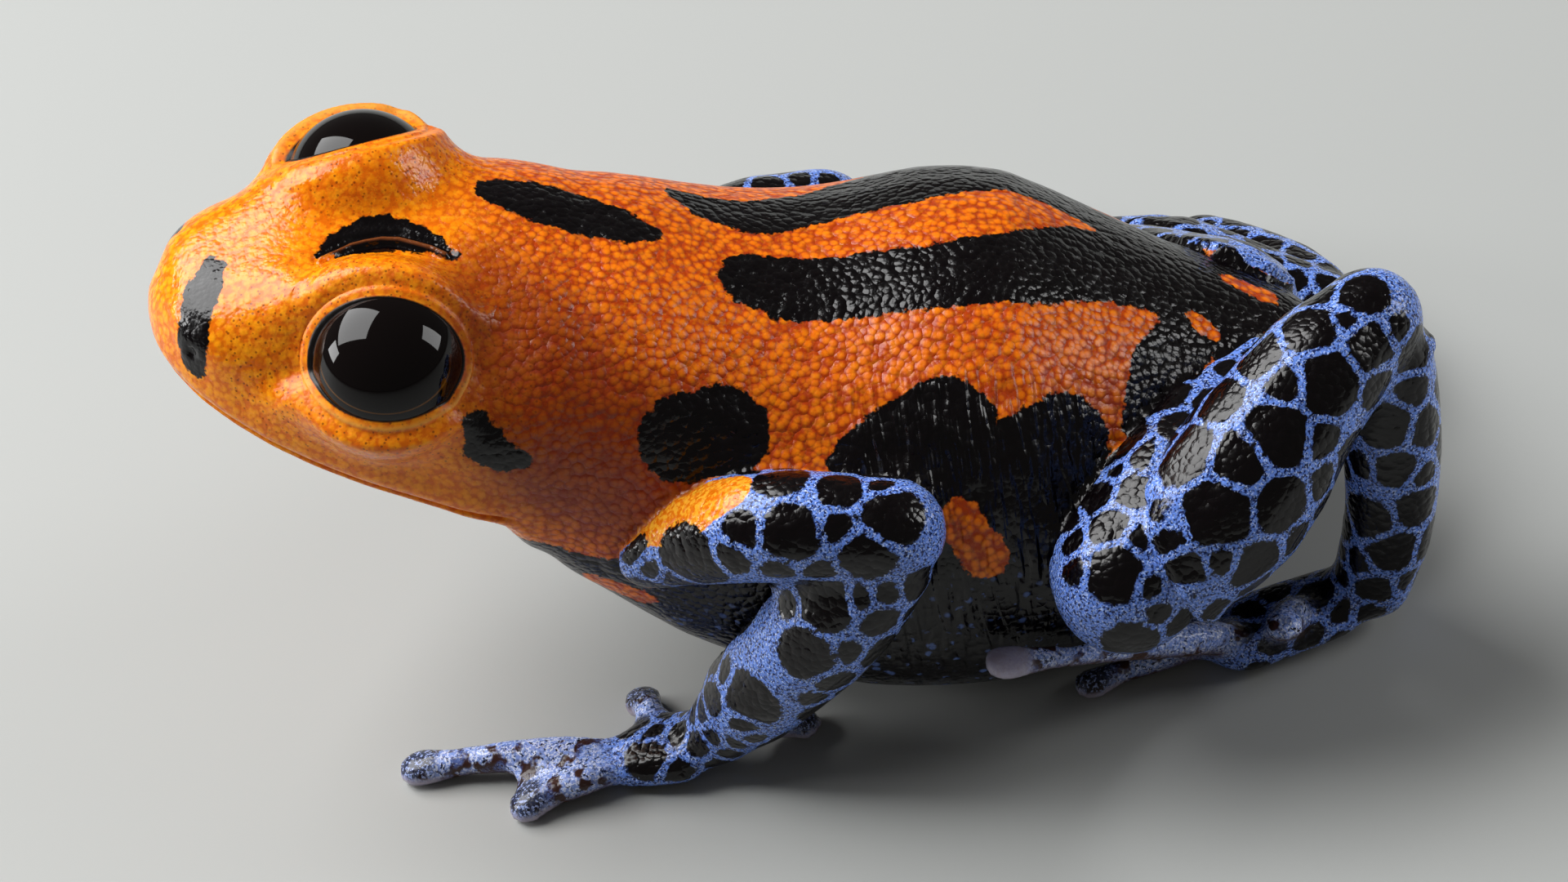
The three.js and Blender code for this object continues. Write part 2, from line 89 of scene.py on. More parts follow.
BACK = Vector((math.sin(VIEW_ROUND) * math.cos(VIEW_DOWN),
               -math.cos(VIEW_ROUND) * math.cos(VIEW_DOWN), math.sin(VIEW_DOWN)))
level_right = Vector((math.cos(VIEW_ROUND), math.sin(VIEW_ROUND), 0))
level_up = BACK.cross(level_right)
RIGHT = level_right * math.cos(VIEW_ROLL) - level_up * math.sin(VIEW_ROLL)
UP = level_right * math.sin(VIEW_ROLL) + level_up * math.cos(VIEW_ROLL)
distance = LENS / SENSOR * PHOTO_WIDTH / PIXELS_PER_MM

camera = bpy.data.objects.new("camera", bpy.data.cameras.new("camera"))
bpy.context.scene.collection.objects.link(camera)
camera.data.lens, camera.data.sensor_width = LENS, SENSOR
camera.data.clip_start, camera.data.clip_end = 0.005, 5
place = Vector(VIEW_MIDDLE) + BACK * distance
camera.matrix_world = Matrix((RIGHT, UP, BACK)).transposed().to_4x4()
camera.location = place * MM
bpy.context.scene.camera = camera
print("camera", round(distance, 1), "mm away")

# %% [markdown]
# ## Light, floor and background
#
# A wet frog is mostly seen by its reflections. One big soft window stands high on the
# picture's left, a smaller one on the right, and a low one before the snout lights the arm;
# a pale surround fills the rest. Point lamps would give hard sparks on every grain, so area
# lights are used. The first two stand where the two bright patches on the near eye mirror
# them. The floor is a plain painted sheet.

# %% Windows
FROG_CENTRE = Vector((-1.0, -1.8, 5.0))    # mm
WINDOW_AWAY = 160    # mm
WINDOWS = (    # name; right, up and forward as the camera sees it; width and height, m; watts
    ("window", (-0.69, 0.70, 0.30), (0.13, 0.13), 0.46),
    ("side_window", (0.83, 0.46, 0.28), (0.06, 0.08), 0.10),
    ("low_window", (-0.97, 0.14, 0.08), (0.05, 0.04), 0.08),
)
for name, (across, up, forward), size, watts in WINDOWS:
    data = bpy.data.lights.new(name, "AREA")
    data.shape, data.energy = "RECTANGLE", watts
    data.size, data.size_y = size
    light = bpy.data.objects.new(name, data)
    bpy.context.scene.collection.objects.link(light)
    ray = (RIGHT * across + UP * up + BACK * forward).normalized()
    light.location = (FROG_CENTRE + ray * WINDOW_AWAY) * MM
    light.rotation_euler = ray.to_track_quat("Z", "Y").to_euler()
    print(name, "stands", round(light.location.z / MM), "mm above the floor")

# %% Surround
SURROUND, SURROUND_STRENGTH = (1.0, 0.97, 0.92, 1), 0.11
world = bpy.data.worlds.new("studio")
bpy.context.scene.world = world
world.use_nodes = True
world.node_tree.nodes["Background"].inputs["Color"].default_value = SURROUND
world.node_tree.nodes["Background"].inputs["Strength"].default_value = SURROUND_STRENGTH
bpy.context.scene.view_settings.view_transform = "Standard"
print("surround", SURROUND, "at", SURROUND_STRENGTH)

# %% Floor
FLOOR_SIZE, FLOOR_GREY = 1.2, (0.38, 0.39, 0.38, 1)    # m, and its paint
bpy.ops.mesh.primitive_plane_add(size=FLOOR_SIZE)
floor = bpy.context.active_object
floor.name = "floor"
floor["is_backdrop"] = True
paint = bpy.data.materials.new("floor_paint")
paint.use_nodes = True
paint.node_tree.nodes["Principled BSDF"].inputs["Base Color"].default_value = FLOOR_GREY
paint.node_tree.nodes["Principled BSDF"].inputs["Roughness"].default_value = 0.6
floor.data.materials.append(paint)
print("floor", FLOOR_SIZE, "m wide")

# %% [markdown]
# ## Small helpers
#
# Blender's operators work on what is selected, so each step first selects only its own
# piece. Moving thousands of points one by one is slow in Python; numpy reads and writes
# them all at once.

# %% Helpers for picking and for points


def pick(*objects):
    """Selects these objects and nothing else; the last one is active."""
    if bpy.context.mode != "OBJECT":
        bpy.ops.object.mode_set(mode="OBJECT")
    bpy.ops.object.select_all(action="DESELECT")
    for ob in objects:
        ob.select_set(True)
    bpy.context.view_layer.objects.active = objects[-1]


def shape_with(ob, kind, **settings):
    """Adds one modifier and applies it."""
    pick(ob)
    modifier = ob.modifiers.new(kind.lower(), kind)
    for name, value in settings.items():
        setattr(modifier, name, value)
    bpy.ops.object.modifier_apply(modifier=modifier.name)


def points_of(ob):
    values = np.empty(len(ob.data.vertices) * 3)
    ob.data.vertices.foreach_get("co", values)
    return values.reshape(-1, 3)


def set_points(ob, points):
    ob.data.vertices.foreach_set("co", np.ascontiguousarray(points, np.float32).ravel())
    ob.data.update()


def edges_of(ob):
    values = np.empty(len(ob.data.edges) * 2, np.int64)
    ob.data.edges.foreach_get("vertices", values)
    return values.reshape(-1, 2)


def normals_of(ob):
    values = np.empty(len(ob.data.vertices) * 3)
    ob.data.vertex_normals.foreach_get("vector", values)
    return values.reshape(-1, 3)


def neighbour_mean(values, edges):
    """Each point's value becomes the mean of its neighbours' values."""
    columns = values.reshape(len(values), -1)
    count = len(columns)
    degree = np.bincount(edges.ravel(), minlength=count)[:, None]
    total = np.zeros_like(columns)
    for k in range(columns.shape[1]):
        total[:, k] = (np.bincount(edges[:, 0], columns[edges[:, 1], k], count)
                       + np.bincount(edges[:, 1], columns[edges[:, 0], k], count))
    return (total / np.maximum(degree, 1)).reshape(values.shape)


def blur(values, edges, rounds):
    for _ in range(rounds):
        values = 0.5 * values + 0.5 * neighbour_mean(values, edges)
    return values


def ramp(values, low, high):
    """0 at low, 1 at high, and a soft S between."""
    share = np.clip((values - low) / (high - low), 0, 1)
    return share * share * (3 - 2 * share)


def write_attribute(ob, name, values):
    attribute = ob.data.attributes.new(name, "FLOAT", "POINT")
    attribute.data.foreach_set("value", np.ascontiguousarray(values, np.float32))


# %% [markdown]
# ## The eyes' places
#
# Both eyes are balls of 1.45 mm. Each looks up and out, and its lids leave an oval opening
# that is longer than it is high. Lids could be drawn by hand, point by point. It's surer to
# give every point its angle off the eye's own axis: the basis below says where along the
# head, across the lids and out of the eye point, and lids, rims and ring all use it.

# %% Eyes and their bases
EYE_UP, EYE_FORWARD, OPENING_PITCH = (math.radians(a) for a in (50, 4, 20))
OPENING_HIGH = 1.15    # mm, half
OPENING_LONG = {"eye_left": 1.42, "eye_right": 1.24}
LOWER_LID = {"eye_left": 1.15, "eye_right": 0.76}    # the far lid stands higher
LID_WALL = {"eye_left": 0.1, "eye_right": 0.32}    # mm, below the eye
CORNERS = ((11, 4), (148, 3))    # degrees round from the front, degrees that it reaches out
CORNER_WIDTH = 7    # degrees
LID_ROOM = 0.05    # mm between ball and lid
LEAN, TURN = math.radians(6), math.radians(4)    # of the head
HEAD_TURN = Matrix.Rotation(TURN, 3, "Z") @ Matrix.Rotation(LEAN, 3, "X")
EYES = {}
for side, name in ((-1, "eye_left"), (1, "eye_right")):
    low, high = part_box(name)
    look = Vector((-math.sin(EYE_FORWARD) * math.cos(EYE_UP),
                   side * math.cos(EYE_FORWARD) * math.cos(EYE_UP), math.sin(EYE_UP)))
    along = Vector((-math.cos(OPENING_PITCH), 0, math.sin(OPENING_PITCH)))
    along = (along - look * along.dot(look)).normalized()
    look, along = HEAD_TURN @ look, HEAD_TURN @ along
    across = look.cross(along).normalized() * -side
    EYES[name] = {
        "long": OPENING_LONG[name],
        "lower": LOWER_LID[name],
        "wall": LID_WALL[name],
        "centre": np.array((low + high) / 2) / MM,
        "radius": (high.z - low.z) / 2 / MM,
        "basis": np.array((along, across, look)),
    }
    print(name, np.round(EYES[name]["centre"], 2), "radius", round(EYES[name]["radius"], 2))


def eye_angles(points, eye):
    """How far each point is from the eye's middle, how far off its axis, and which way."""
    arm = (points - eye["centre"]) @ eye["basis"].T
    reach = np.linalg.norm(arm, axis=1)
    off = np.arccos(np.clip(arm[:, 2] / reach, -1, 1))
    return reach, off, np.arctan2(arm[:, 1], arm[:, 0])


def margin_angle(turn, eye):
    """The lids' edge, as an angle off the eye's axis, all the way round."""
    high = np.where(turn > 0, eye["lower"], OPENING_HIGH)
    half = 1 / np.hypot(np.cos(turn) / eye["long"], np.sin(turn) / high)
    margin = np.arcsin(half / (eye["radius"] + LID_ROOM))
    for place, reach in CORNERS:
        nearness = np.exp(-((np.degrees(turn) - place) / CORNER_WIDTH) ** 2)
        margin = margin + math.radians(reach) * nearness
    return margin


# %% [markdown]
# ## One skin over all the solids
#
# A frog's skin runs unbroken over head, trunk and limbs, but the solids stop 0.3 mm short
# of each other. A boolean union would keep the gaps and every hard edge. So copies of the
# solids are swollen until they overlap, wrapped in one skin by a voxel remesh, and shrunk
# back by as much. A ball in each socket keeps the wrap closed where the eye will sit.

# %% Wrap the solids
GROW, VOXEL = 0.2, 0.135    # mm
SOCKET_DOME = 1.66    # mm
SAME_POINT = 0.001    # mm


def flesh_copy(name):
    """A CAD node's solid as a new object, in millimetres, with its doubles merged."""
    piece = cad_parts[name].copy()
    piece.data = piece.data.copy()
    piece.parent = None
    for key in list(piece.keys()):
        del piece[key]
    bpy.context.scene.collection.objects.link(piece)
    piece.data.transform(Matrix.Scale(1 / MM, 4))
    pick(piece)
    bpy.ops.object.mode_set(mode="EDIT")
    bpy.ops.mesh.select_all(action="SELECT")
    bpy.ops.mesh.remove_doubles(threshold=SAME_POINT)
    bpy.ops.object.mode_set(mode="OBJECT")
    return piece


def wrapped(names, extras=()):
    """One shell round some solids: swollen, remeshed, and shrunk back."""
    pick(*[flesh_copy(name) for name in names], *extras)
    bpy.ops.object.join()
    shell = bpy.context.active_object
    shape_with(shell, "DISPLACE", mid_level=0, strength=GROW)
    shape_with(shell, "REMESH", mode="VOXEL", voxel_size=VOXEL)
    shape_with(shell, "DISPLACE", mid_level=0, strength=-GROW)
    return shell


# %% One shell for each group of neighbours
domes = []
for eye in EYES.values():
    bpy.ops.mesh.primitive_uv_sphere_add(
        segments=48, ring_count=32, radius=SOCKET_DOME - GROW, location=eye["centre"])
    domes.append(bpy.context.active_object)
    pick(domes[-1])
    bpy.ops.object.transform_apply(location=True)

TRUNK_GROUP = ("head", "torso", "upper_arm_left", "upper_arm_right", "thigh_left", "thigh_right")
LIMB_GROUPS = (
    ("upper_arm", "forearm", "hand", "finger_1", "finger_2", "finger_3", "finger_4"),
    ("thigh", "shank"),
    ("shank", "tarsus"),
    ("tarsus", "foot", "toe_1", "toe_2", "toe_3", "toe_4", "toe_5"),
)
shells = [wrapped(TRUNK_GROUP, domes)]
for side in ("_left", "_right"):
    for group in LIMB_GROUPS:
        shells.append(wrapped([name + side for name in group]))
print(len(shells), "shells")

# %% One skin from all the shells
pick(*shells)
bpy.ops.object.join()
skin = bpy.context.active_object
skin.name = skin.data.name = "skin"
skin.data.materials.clear()
shape_with(skin, "REMESH", mode="VOXEL", voxel_size=VOXEL)
pick(skin)
bpy.ops.object.mode_set(mode="EDIT")
bpy.ops.mesh.separate(type="LOOSE")
bpy.ops.object.mode_set(mode="OBJECT")
shells = sorted(bpy.context.selected_objects, key=lambda ob: len(ob.data.polygons))
skin = shells[-1]
for shell in shells[:-1]:
    print("loose shell removed:", len(shell.data.polygons), "faces")
    bpy.data.objects.remove(shell)
print("skin:", len(skin.data.vertices), "points")

# %% [markdown]
# ## Which part each point belongs to
#
# Colour and smoothing differ between head, trunk, limbs and digits. Each part could be
# painted by hand, but the solids already know where it is: the nearest solid tells which
# part a point of the skin is. Blurred over a few neighbours, that gives soft borders.

# %% All the solids in one search tree
tree_points, tree_faces, tree_owner = [], [], []
for index, name in enumerate(FLESH):
    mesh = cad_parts[name].data
    start = len(tree_points)
    tree_points += [tuple(v.co / MM) for v in mesh.vertices]
    tree_faces += [tuple(start + i for i in f.vertices) for f in mesh.polygons]
    tree_owner += [index] * len(mesh.polygons)
solids = BVHTree.FromPolygons(tree_points, tree_faces)
print("search tree of", len(tree_faces), "faces")

# %% Parts of the skin


def parts_of(points):
    return np.array([tree_owner[solids.find_nearest(p)[2]] for p in points])


def share_of(owner, edges, starts, rounds):
    """1 on the parts whose names start so, 0 elsewhere, softened."""
    wanted = np.array([name.startswith(starts) for name in FLESH], float)
    return blur(wanted[owner], edges, rounds)


owner = parts_of(points_of(skin))
edges = edges_of(skin)
DIGITS = ("finger", "toe")
LIMB_NAMES = ("upper_arm", "forearm", "thigh", "shank", "tarsus", "hand", "foot")
TRUNK = ("head", "torso")
for kind in TRUNK + LIMB_NAMES:
    print(kind, int(share_of(owner, edges, kind, 0).sum()), "points")

# %% [markdown]
# ## Smooth flesh
#
# A voxel skin has a faint staircase, and the solids' flat faces show through. The Smooth
# modifier would remove both but thin the fingers. Moving each point towards its neighbours'
# mean and then a little back keeps the volume. The trunk takes many rounds, the digits few.

# %% Relax the skin
FORWARD, BACKWARD = 0.5, -0.52
ALL_ROUNDS, LIMB_ROUNDS, TRUNK_ROUNDS = 12, 16, 30


def relax(points, edges, weight, rounds):
    for _ in range(rounds):
        for pull in (FORWARD, BACKWARD):
            points = points + pull * weight[:, None] * (neighbour_mean(points, edges) - points)
    return points


points = points_of(skin)
trunk = share_of(owner, edges, TRUNK, 8)
digits = share_of(owner, edges, DIGITS, 4)
points = relax(points, edges, np.clip(1 - 0.2 * digits, 0, 1), ALL_ROUNDS)
off_digits = np.clip(1 - 0.9 * digits - 0.3 * (1 - trunk), 0, 1)
points = relax(points, edges, off_digits, LIMB_ROUNDS)
points = relax(points, edges, ramp(trunk, 0.3, 0.9), TRUNK_ROUNDS)
set_points(skin, points)
print("relaxed; lowest point", round(points[:, 2].min(), 3), "mm")

# %% [markdown]
# ## Creases where parts press together
#
# The wrap closes the narrow partings between the solids. Where a thigh lies against a shank,
# or a limb against the trunk, real skin folds in instead. A crease could be pulled in with a
# sculpting brush; here the solids say where it runs. A point that's about as far from one
# solid as from the other lies over a parting, and is pushed in.

# %% Creases
CREASES = (("thigh", "shank"), ("torso", "thigh"), ("torso", "upper_arm"))
CREASE_DEPTH, CREASE_WIDTH = 0.2, 0.14    # mm
TOUCHING, APART = 0.8, 1.2    # mm, both distances together: a full crease, none


def solid_tree(name):
    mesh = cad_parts[name].data
    return BVHTree.FromPolygons([tuple(v.co / MM) for v in mesh.vertices],
                                [tuple(f.vertices) for f in mesh.polygons])


push = np.zeros(len(points))
for side in ("_left", "_right"):
    for pair in CREASES:
        names = [name if name == "torso" else name + side for name in pair]
        trees = [solid_tree(name) for name in names]
        near = np.flatnonzero(np.isin(owner, [FLESH.index(name) for name in names]))
        gaps = np.array([[tree.find_nearest(points[i])[3] for tree in trees] for i in near])
        parting = np.exp(-((gaps[:, 0] - gaps[:, 1]) / CREASE_WIDTH) ** 2)
        parting *= ramp(-gaps.sum(1), -APART, -TOUCHING)
        push[near] = np.maximum(push[near], CREASE_DEPTH * parting)
points = points - normals_of(skin) * push[:, None]
points = relax(points, edges, np.clip(3 * push, 0, 0.6), 2)
set_points(skin, points)
print("creased", int((push > 0.1).sum()), "points")

# %% [markdown]
# ## Finer mesh where the eye looks first
#
# Lids, mouth and nostrils need points much closer together than the back does. A finer
# voxel everywhere would make millions of faces, so only the faces near them are subdivided,
# twice at their edges. The upright head is easier to measure in than the leaning one, so
# there are two helpers that turn points upright and back.

# %% The upright head
TURN_MIDDLE = -6.5    # mm, where the head starts to turn
CENTRE_X = (-10.4, -8.5, -7.0, -5.5, -4.0, -2.0)    # mm, the head's middle line
CENTRE_Z = (9.66, 9.1, 8.63, 7.89, 6.79, 5.46)


def upright(points):
    """Head points as they would be on a frog that looks straight ahead."""
    p = points - FROG_ZERO
    ahead = np.minimum(0, p[:, 0] - TURN_MIDDLE)
    y = (p[:, 1] - ahead * math.sin(TURN)) / math.cos(TURN)
    x = p[:, 0] + y * math.sin(TURN)
    centre = np.interp(x, CENTRE_X, CENTRE_Z)
    up = p[:, 2] - centre
    return np.stack((x, y * math.cos(LEAN) + up * math.sin(LEAN),
                     centre - y * math.sin(LEAN) + up * math.cos(LEAN)), 1)


def leaning(points):
    """The way back: from the upright head to the frog's own pose."""
    x, y, z = points.T
    centre = np.interp(x, CENTRE_X, CENTRE_Z)
    up = z - centre
    wide = y * math.cos(LEAN) - up * math.sin(LEAN)
    tall = centre + y * math.sin(LEAN) + up * math.cos(LEAN)
    ahead = np.minimum(0, x - TURN_MIDDLE)
    return FROG_ZERO + np.stack((x - wide * math.sin(TURN),
                                 wide * math.cos(TURN) + ahead * math.sin(TURN), tall), 1)


head_points = points[owner == FLESH.index("head")]
there_and_back = leaning(upright(head_points)) - head_points
print("there and back is off by", round(float(np.abs(there_and_back).max()), 4), "mm at most")

# %% Mouth and nostrils
MOUTH_FRONT, MOUTH_SLOPE, MOUTH_CORNER = (-10.75, 9.3), -2.71 / 5.9, -4.85
NOSTRILS = leaning(np.array([(-10.04, side * 1.3, 10.0) for side in (-1, 1)]))


def mouth_gap(points):
    """How far a point is above the line of the mouth, and how much of the line is there."""
    p = upright(points)
    gap = p[:, 2] - (MOUTH_FRONT[1] + MOUTH_SLOPE * (p[:, 0] - MOUTH_FRONT[0]))
    there = ramp(-p[:, 0], -MOUTH_CORNER, -MOUTH_CORNER + 0.7)
    return gap, there


print("mouth from", MOUTH_FRONT[0], "to", MOUTH_CORNER, "mm along the head")

# %% The fold over the near eye
FOLD_LINE = ((-7.5, -.83), (-7.15, -.6), (-6.95, -.46), (-6.7, -.37), (-6.4, -.31),
             (-6.1, -.33), (-5.85, -.43), (-5.55, -.55), (-5.3, -.72))    # seen from above
CROWN = 9.5    # mm, nothing lower belongs to the fold over the eye


def chain_depth(points, chain):
    """How deep each point is inside a chain of balls joined by tapering bars."""
    balls = np.array(chain, float)
    centres, radii = balls[:, :3] + FROG_ZERO, balls[:, 3]
    best = np.full(len(points), -np.inf)
    for k in range(len(balls) - 1):
        bar = centres[k + 1] - centres[k]
        share = np.clip((points - centres[k]) @ bar / (bar @ bar), 0, 1)
        near = centres[k] + share[:, None] * bar
        radius = radii[k] + share * (radii[k + 1] - radii[k])
        best = np.maximum(best, radius - np.linalg.norm(points - near, axis=1))
    return best


def fold_away(points):
    """How far each point of the crown is from the fold over the near eye, seen from above."""
    chain = [(x, y, 0, 0) for x, y in FOLD_LINE]
    return np.where(points[:, 2] > CROWN, -chain_depth(points * (1, 1, 0), chain), 9)


print("fold", FOLD_LINE[-1][0] - FOLD_LINE[0][0], "mm long")

# %% Refine
FINE_ZONES = (    # how far out from lids (radians), and from mouth, fold and nostrils (mm)
    (0.42, 0.3, 0.45, 0.55),
    (0.16, 0.13, 0.2, 0.35),
)
EYE_ZONE = 2.6    # mm from an eye's middle


def face_middles(ob):
    values = np.empty(len(ob.data.polygons) * 3)
    ob.data.polygons.foreach_get("center", values)
    return values.reshape(-1, 3)


def refine(ob, chosen):
    pick(ob)
    bpy.ops.object.mode_set(mode="EDIT")
    bpy.ops.mesh.select_mode(type="FACE")
    bpy.ops.mesh.select_all(action="DESELECT")
    bpy.ops.object.mode_set(mode="OBJECT")
    ob.data.polygons.foreach_set("select", chosen)
    bpy.ops.object.mode_set(mode="EDIT")
    bpy.ops.mesh.subdivide(number_cuts=1)
    bpy.ops.object.mode_set(mode="OBJECT")


for around_lid, around_mouth, around_fold, around_nostril in FINE_ZONES:
    middles = face_middles(skin)
    chosen = np.zeros(len(middles), bool)
    for eye in EYES.values():
        reach, off, turn = eye_angles(middles, eye)
        beyond = off - margin_angle(turn, eye)
        chosen |= (reach < EYE_ZONE) & (beyond < around_lid) & (beyond > -around_lid * 0.5)
    gap, there = mouth_gap(middles)
    chosen |= (np.abs(gap) < around_mouth) & (there > 0)
    chosen |= fold_away(middles) < around_fold
    for nostril in NOSTRILS:
        chosen |= np.linalg.norm(middles - nostril, axis=1) < around_nostril
    refine(skin, chosen)
    print("refined", int(chosen.sum()), "faces;", len(skin.data.vertices), "points now")

# %% [markdown]
# ## Lids, mouth and nostrils
#
# Around each eye the skin is a dome. Inside the opening it drops behind the eyeball, at the
# edge it rolls over as a soft rim, and further out it runs into the head. The mouth is a
# fine closed seam between two full lips, and the nostrils are small pits. All of it is pushed
# in and out by formulas in place of brush strokes, so that it's the same each time and can be
# changed by one value.

# %% Lids
SOCKET_DEPTH, EDGE_RISE, LID_RISE = 0.25, 0.28, 0.22    # mm
UPPER_WALL = 0.1    # mm
FURROW = (0.02, 20, 3)    # mm deep, degrees beyond the opening, degrees wide
LID_REACH = 36    # degrees beyond the opening where the lid has become head
LID_SLOPE, LID_NEAR, LID_FAR = 0.03, 2.0, 3.2    # mm per degree, mm from the eye's middle
CORNER_DIPS = ((2.1, 0.1, 0.22, 0.7), (-1.95, 0.35, 0.12, 0.5))
# mm: where along and across the eye, how deep, how wide
LID_ROUNDS = 8


def sculpt_lids(points, eye):
    """Pushes the skin to a socket inside the opening and to a full lid round it."""
    reach, off, turn = eye_angles(points, eye)
    beyond = np.degrees(off - margin_angle(turn, eye))
    wall = UPPER_WALL + (eye["wall"] - UPPER_WALL) * ramp(np.sin(turn), -0.2, 0.5)
    roll = np.maximum(LID_RISE - wall, 0.03)
    furrow = FURROW[0] * np.exp(-((beyond - FURROW[1]) / FURROW[2]) ** 2)
    wanted = (eye["radius"] - SOCKET_DEPTH + EDGE_RISE * ramp(beyond, -6, -1)
              + wall * ramp(beyond, -1, 4) + roll * ramp(beyond, 4, 16) - furrow)
    raised = (1 - ramp(beyond, 0.4 * LID_REACH, LID_REACH)) * (wanted - reach)
    target = wanted + LID_SLOPE * np.maximum(beyond - 6, 0)
    cut = ((1 - ramp(reach, LID_NEAR, LID_FAR)) * (1 - ramp(beyond, 6, LID_REACH))
           * np.maximum(reach - target, 0))
    new_reach = np.where(reach < wanted, reach + raised, reach - cut)
    return eye["centre"] + (points - eye["centre"]) * (new_reach / reach)[:, None]


def dip_corners(points, eye):
    """Lowers the skin before and behind the eye, so that the lids can close in on the ball."""
    arm = (points - eye["centre"]) @ eye["basis"].T
    drop = np.zeros(len(points))
    for along, across, depth, radius in CORNER_DIPS:
        away = np.hypot(arm[:, 0] - along, arm[:, 1] - across)
        drop += depth * np.exp(-(away / radius) ** 2) * ramp(arm[:, 2], -0.9, -0.3)
    return points - drop[:, None] * eye["basis"][2]


points, edges = points_of(skin), edges_of(skin)
owner = parts_of(points)
head = share_of(owner, edges, "head", 3)
for eye in EYES.values():
    points = sculpt_lids(dip_corners(points, eye), eye)
set_points(skin, points)
lid_points = np.zeros(len(points))
for eye in EYES.values():
    reach, off, turn = eye_angles(points, eye)
    lid_points = np.maximum(lid_points, (reach < EYE_ZONE)
                            * (1 - ramp(off - margin_angle(turn, eye), 0.1, 0.25)))
points = relax(points, edges, 0.4 + 0.6 * (1 - lid_points) * head, LID_ROUNDS)
set_points(skin, points)
print("lids on", int((lid_points > 0.5).sum()), "points")

# %% Mouth, nostrils, bridges and fold
MOUTH_WIDTH, MOUTH_DEPTH = 0.05, 0.12    # mm
LIP_MIDDLE, LIP_WIDTH, LIP_HEIGHT, CHIN_DROP = 0.22, 0.28, 0.05, 0.16    # mm
NEAR_EYE = 3    # mm from an eye's middle
NOSTRIL_RIM, NOSTRIL_PIT = (0.05, 0.34), (0.26, 0.12)    # mm high or deep, mm wide
BRIDGE, BRIDGE_REACH = 0.34, 1.25    # mm: the fuller ridge from each nostril to its eye
BRIDGE_MIDDLE = (-7.8, 1.55, 10.6)    # mm, on the upright head
FOLD_RIDGE, FOLD_FURROW, FOLD_WIDTH, FURROW_AWAY = 0.05, 0.06, 0.06, 0.13    # mm
gap, there = mouth_gap(points)
groove = MOUTH_DEPTH * np.exp(-(gap / MOUTH_WIDTH) ** 2)
lips = LIP_HEIGHT * np.exp(-((np.abs(gap) - LIP_MIDDLE) / LIP_WIDTH) ** 2)
chin = CHIN_DROP * ramp(-gap, 0.05, 0.6)
push = (lips - groove - chin) * there * head
for nostril in NOSTRILS:
    away = np.linalg.norm(points - nostril, axis=1)
    push += NOSTRIL_RIM[0] * np.exp(-(away / NOSTRIL_RIM[1]) ** 2)
    push -= NOSTRIL_PIT[0] * np.exp(-(away / NOSTRIL_PIT[1]) ** 2)
off_lids = np.ones(len(points))
for eye in EYES.values():
    reach, off, turn = eye_angles(points, eye)
    beyond = (off - margin_angle(turn, eye)) * reach
    off_lids = np.minimum(off_lids, np.where(reach < NEAR_EYE, ramp(beyond, 0.05, 0.7), 1))
for side in (-1, 1):
    away = np.linalg.norm(upright(points) - np.multiply(BRIDGE_MIDDLE, (1, side, 1)), axis=1)
    push += BRIDGE * np.exp(-(away / BRIDGE_REACH) ** 2) * (0.15 + 0.85 * off_lids)
fold = fold_away(points)
push += FOLD_RIDGE * np.exp(-(fold / FOLD_WIDTH) ** 2)
push -= FOLD_FURROW * np.exp(-((fold - FURROW_AWAY) / FOLD_WIDTH) ** 2)
points = points + normals_of(skin) * push[:, None]
points[:, 2] = np.maximum(points[:, 2], 0.0)
set_points(skin, points)
print("pushed by", round(float(push.min()), 2), "to", round(float(push.max()), 2), "mm")

# %% [markdown]
# ## Where the markings are
#
# The back is orange with long black blotches. They could be painted on a picture and
# wrapped on, but then their edges would blur close up. Here each blotch is a short chain of
# balls: a place in millimetres and a radius. The depth of a skin point inside the union of
# the chains is stored on the mesh, and the material turns it into an edge, which stays sharp
# at any distance.

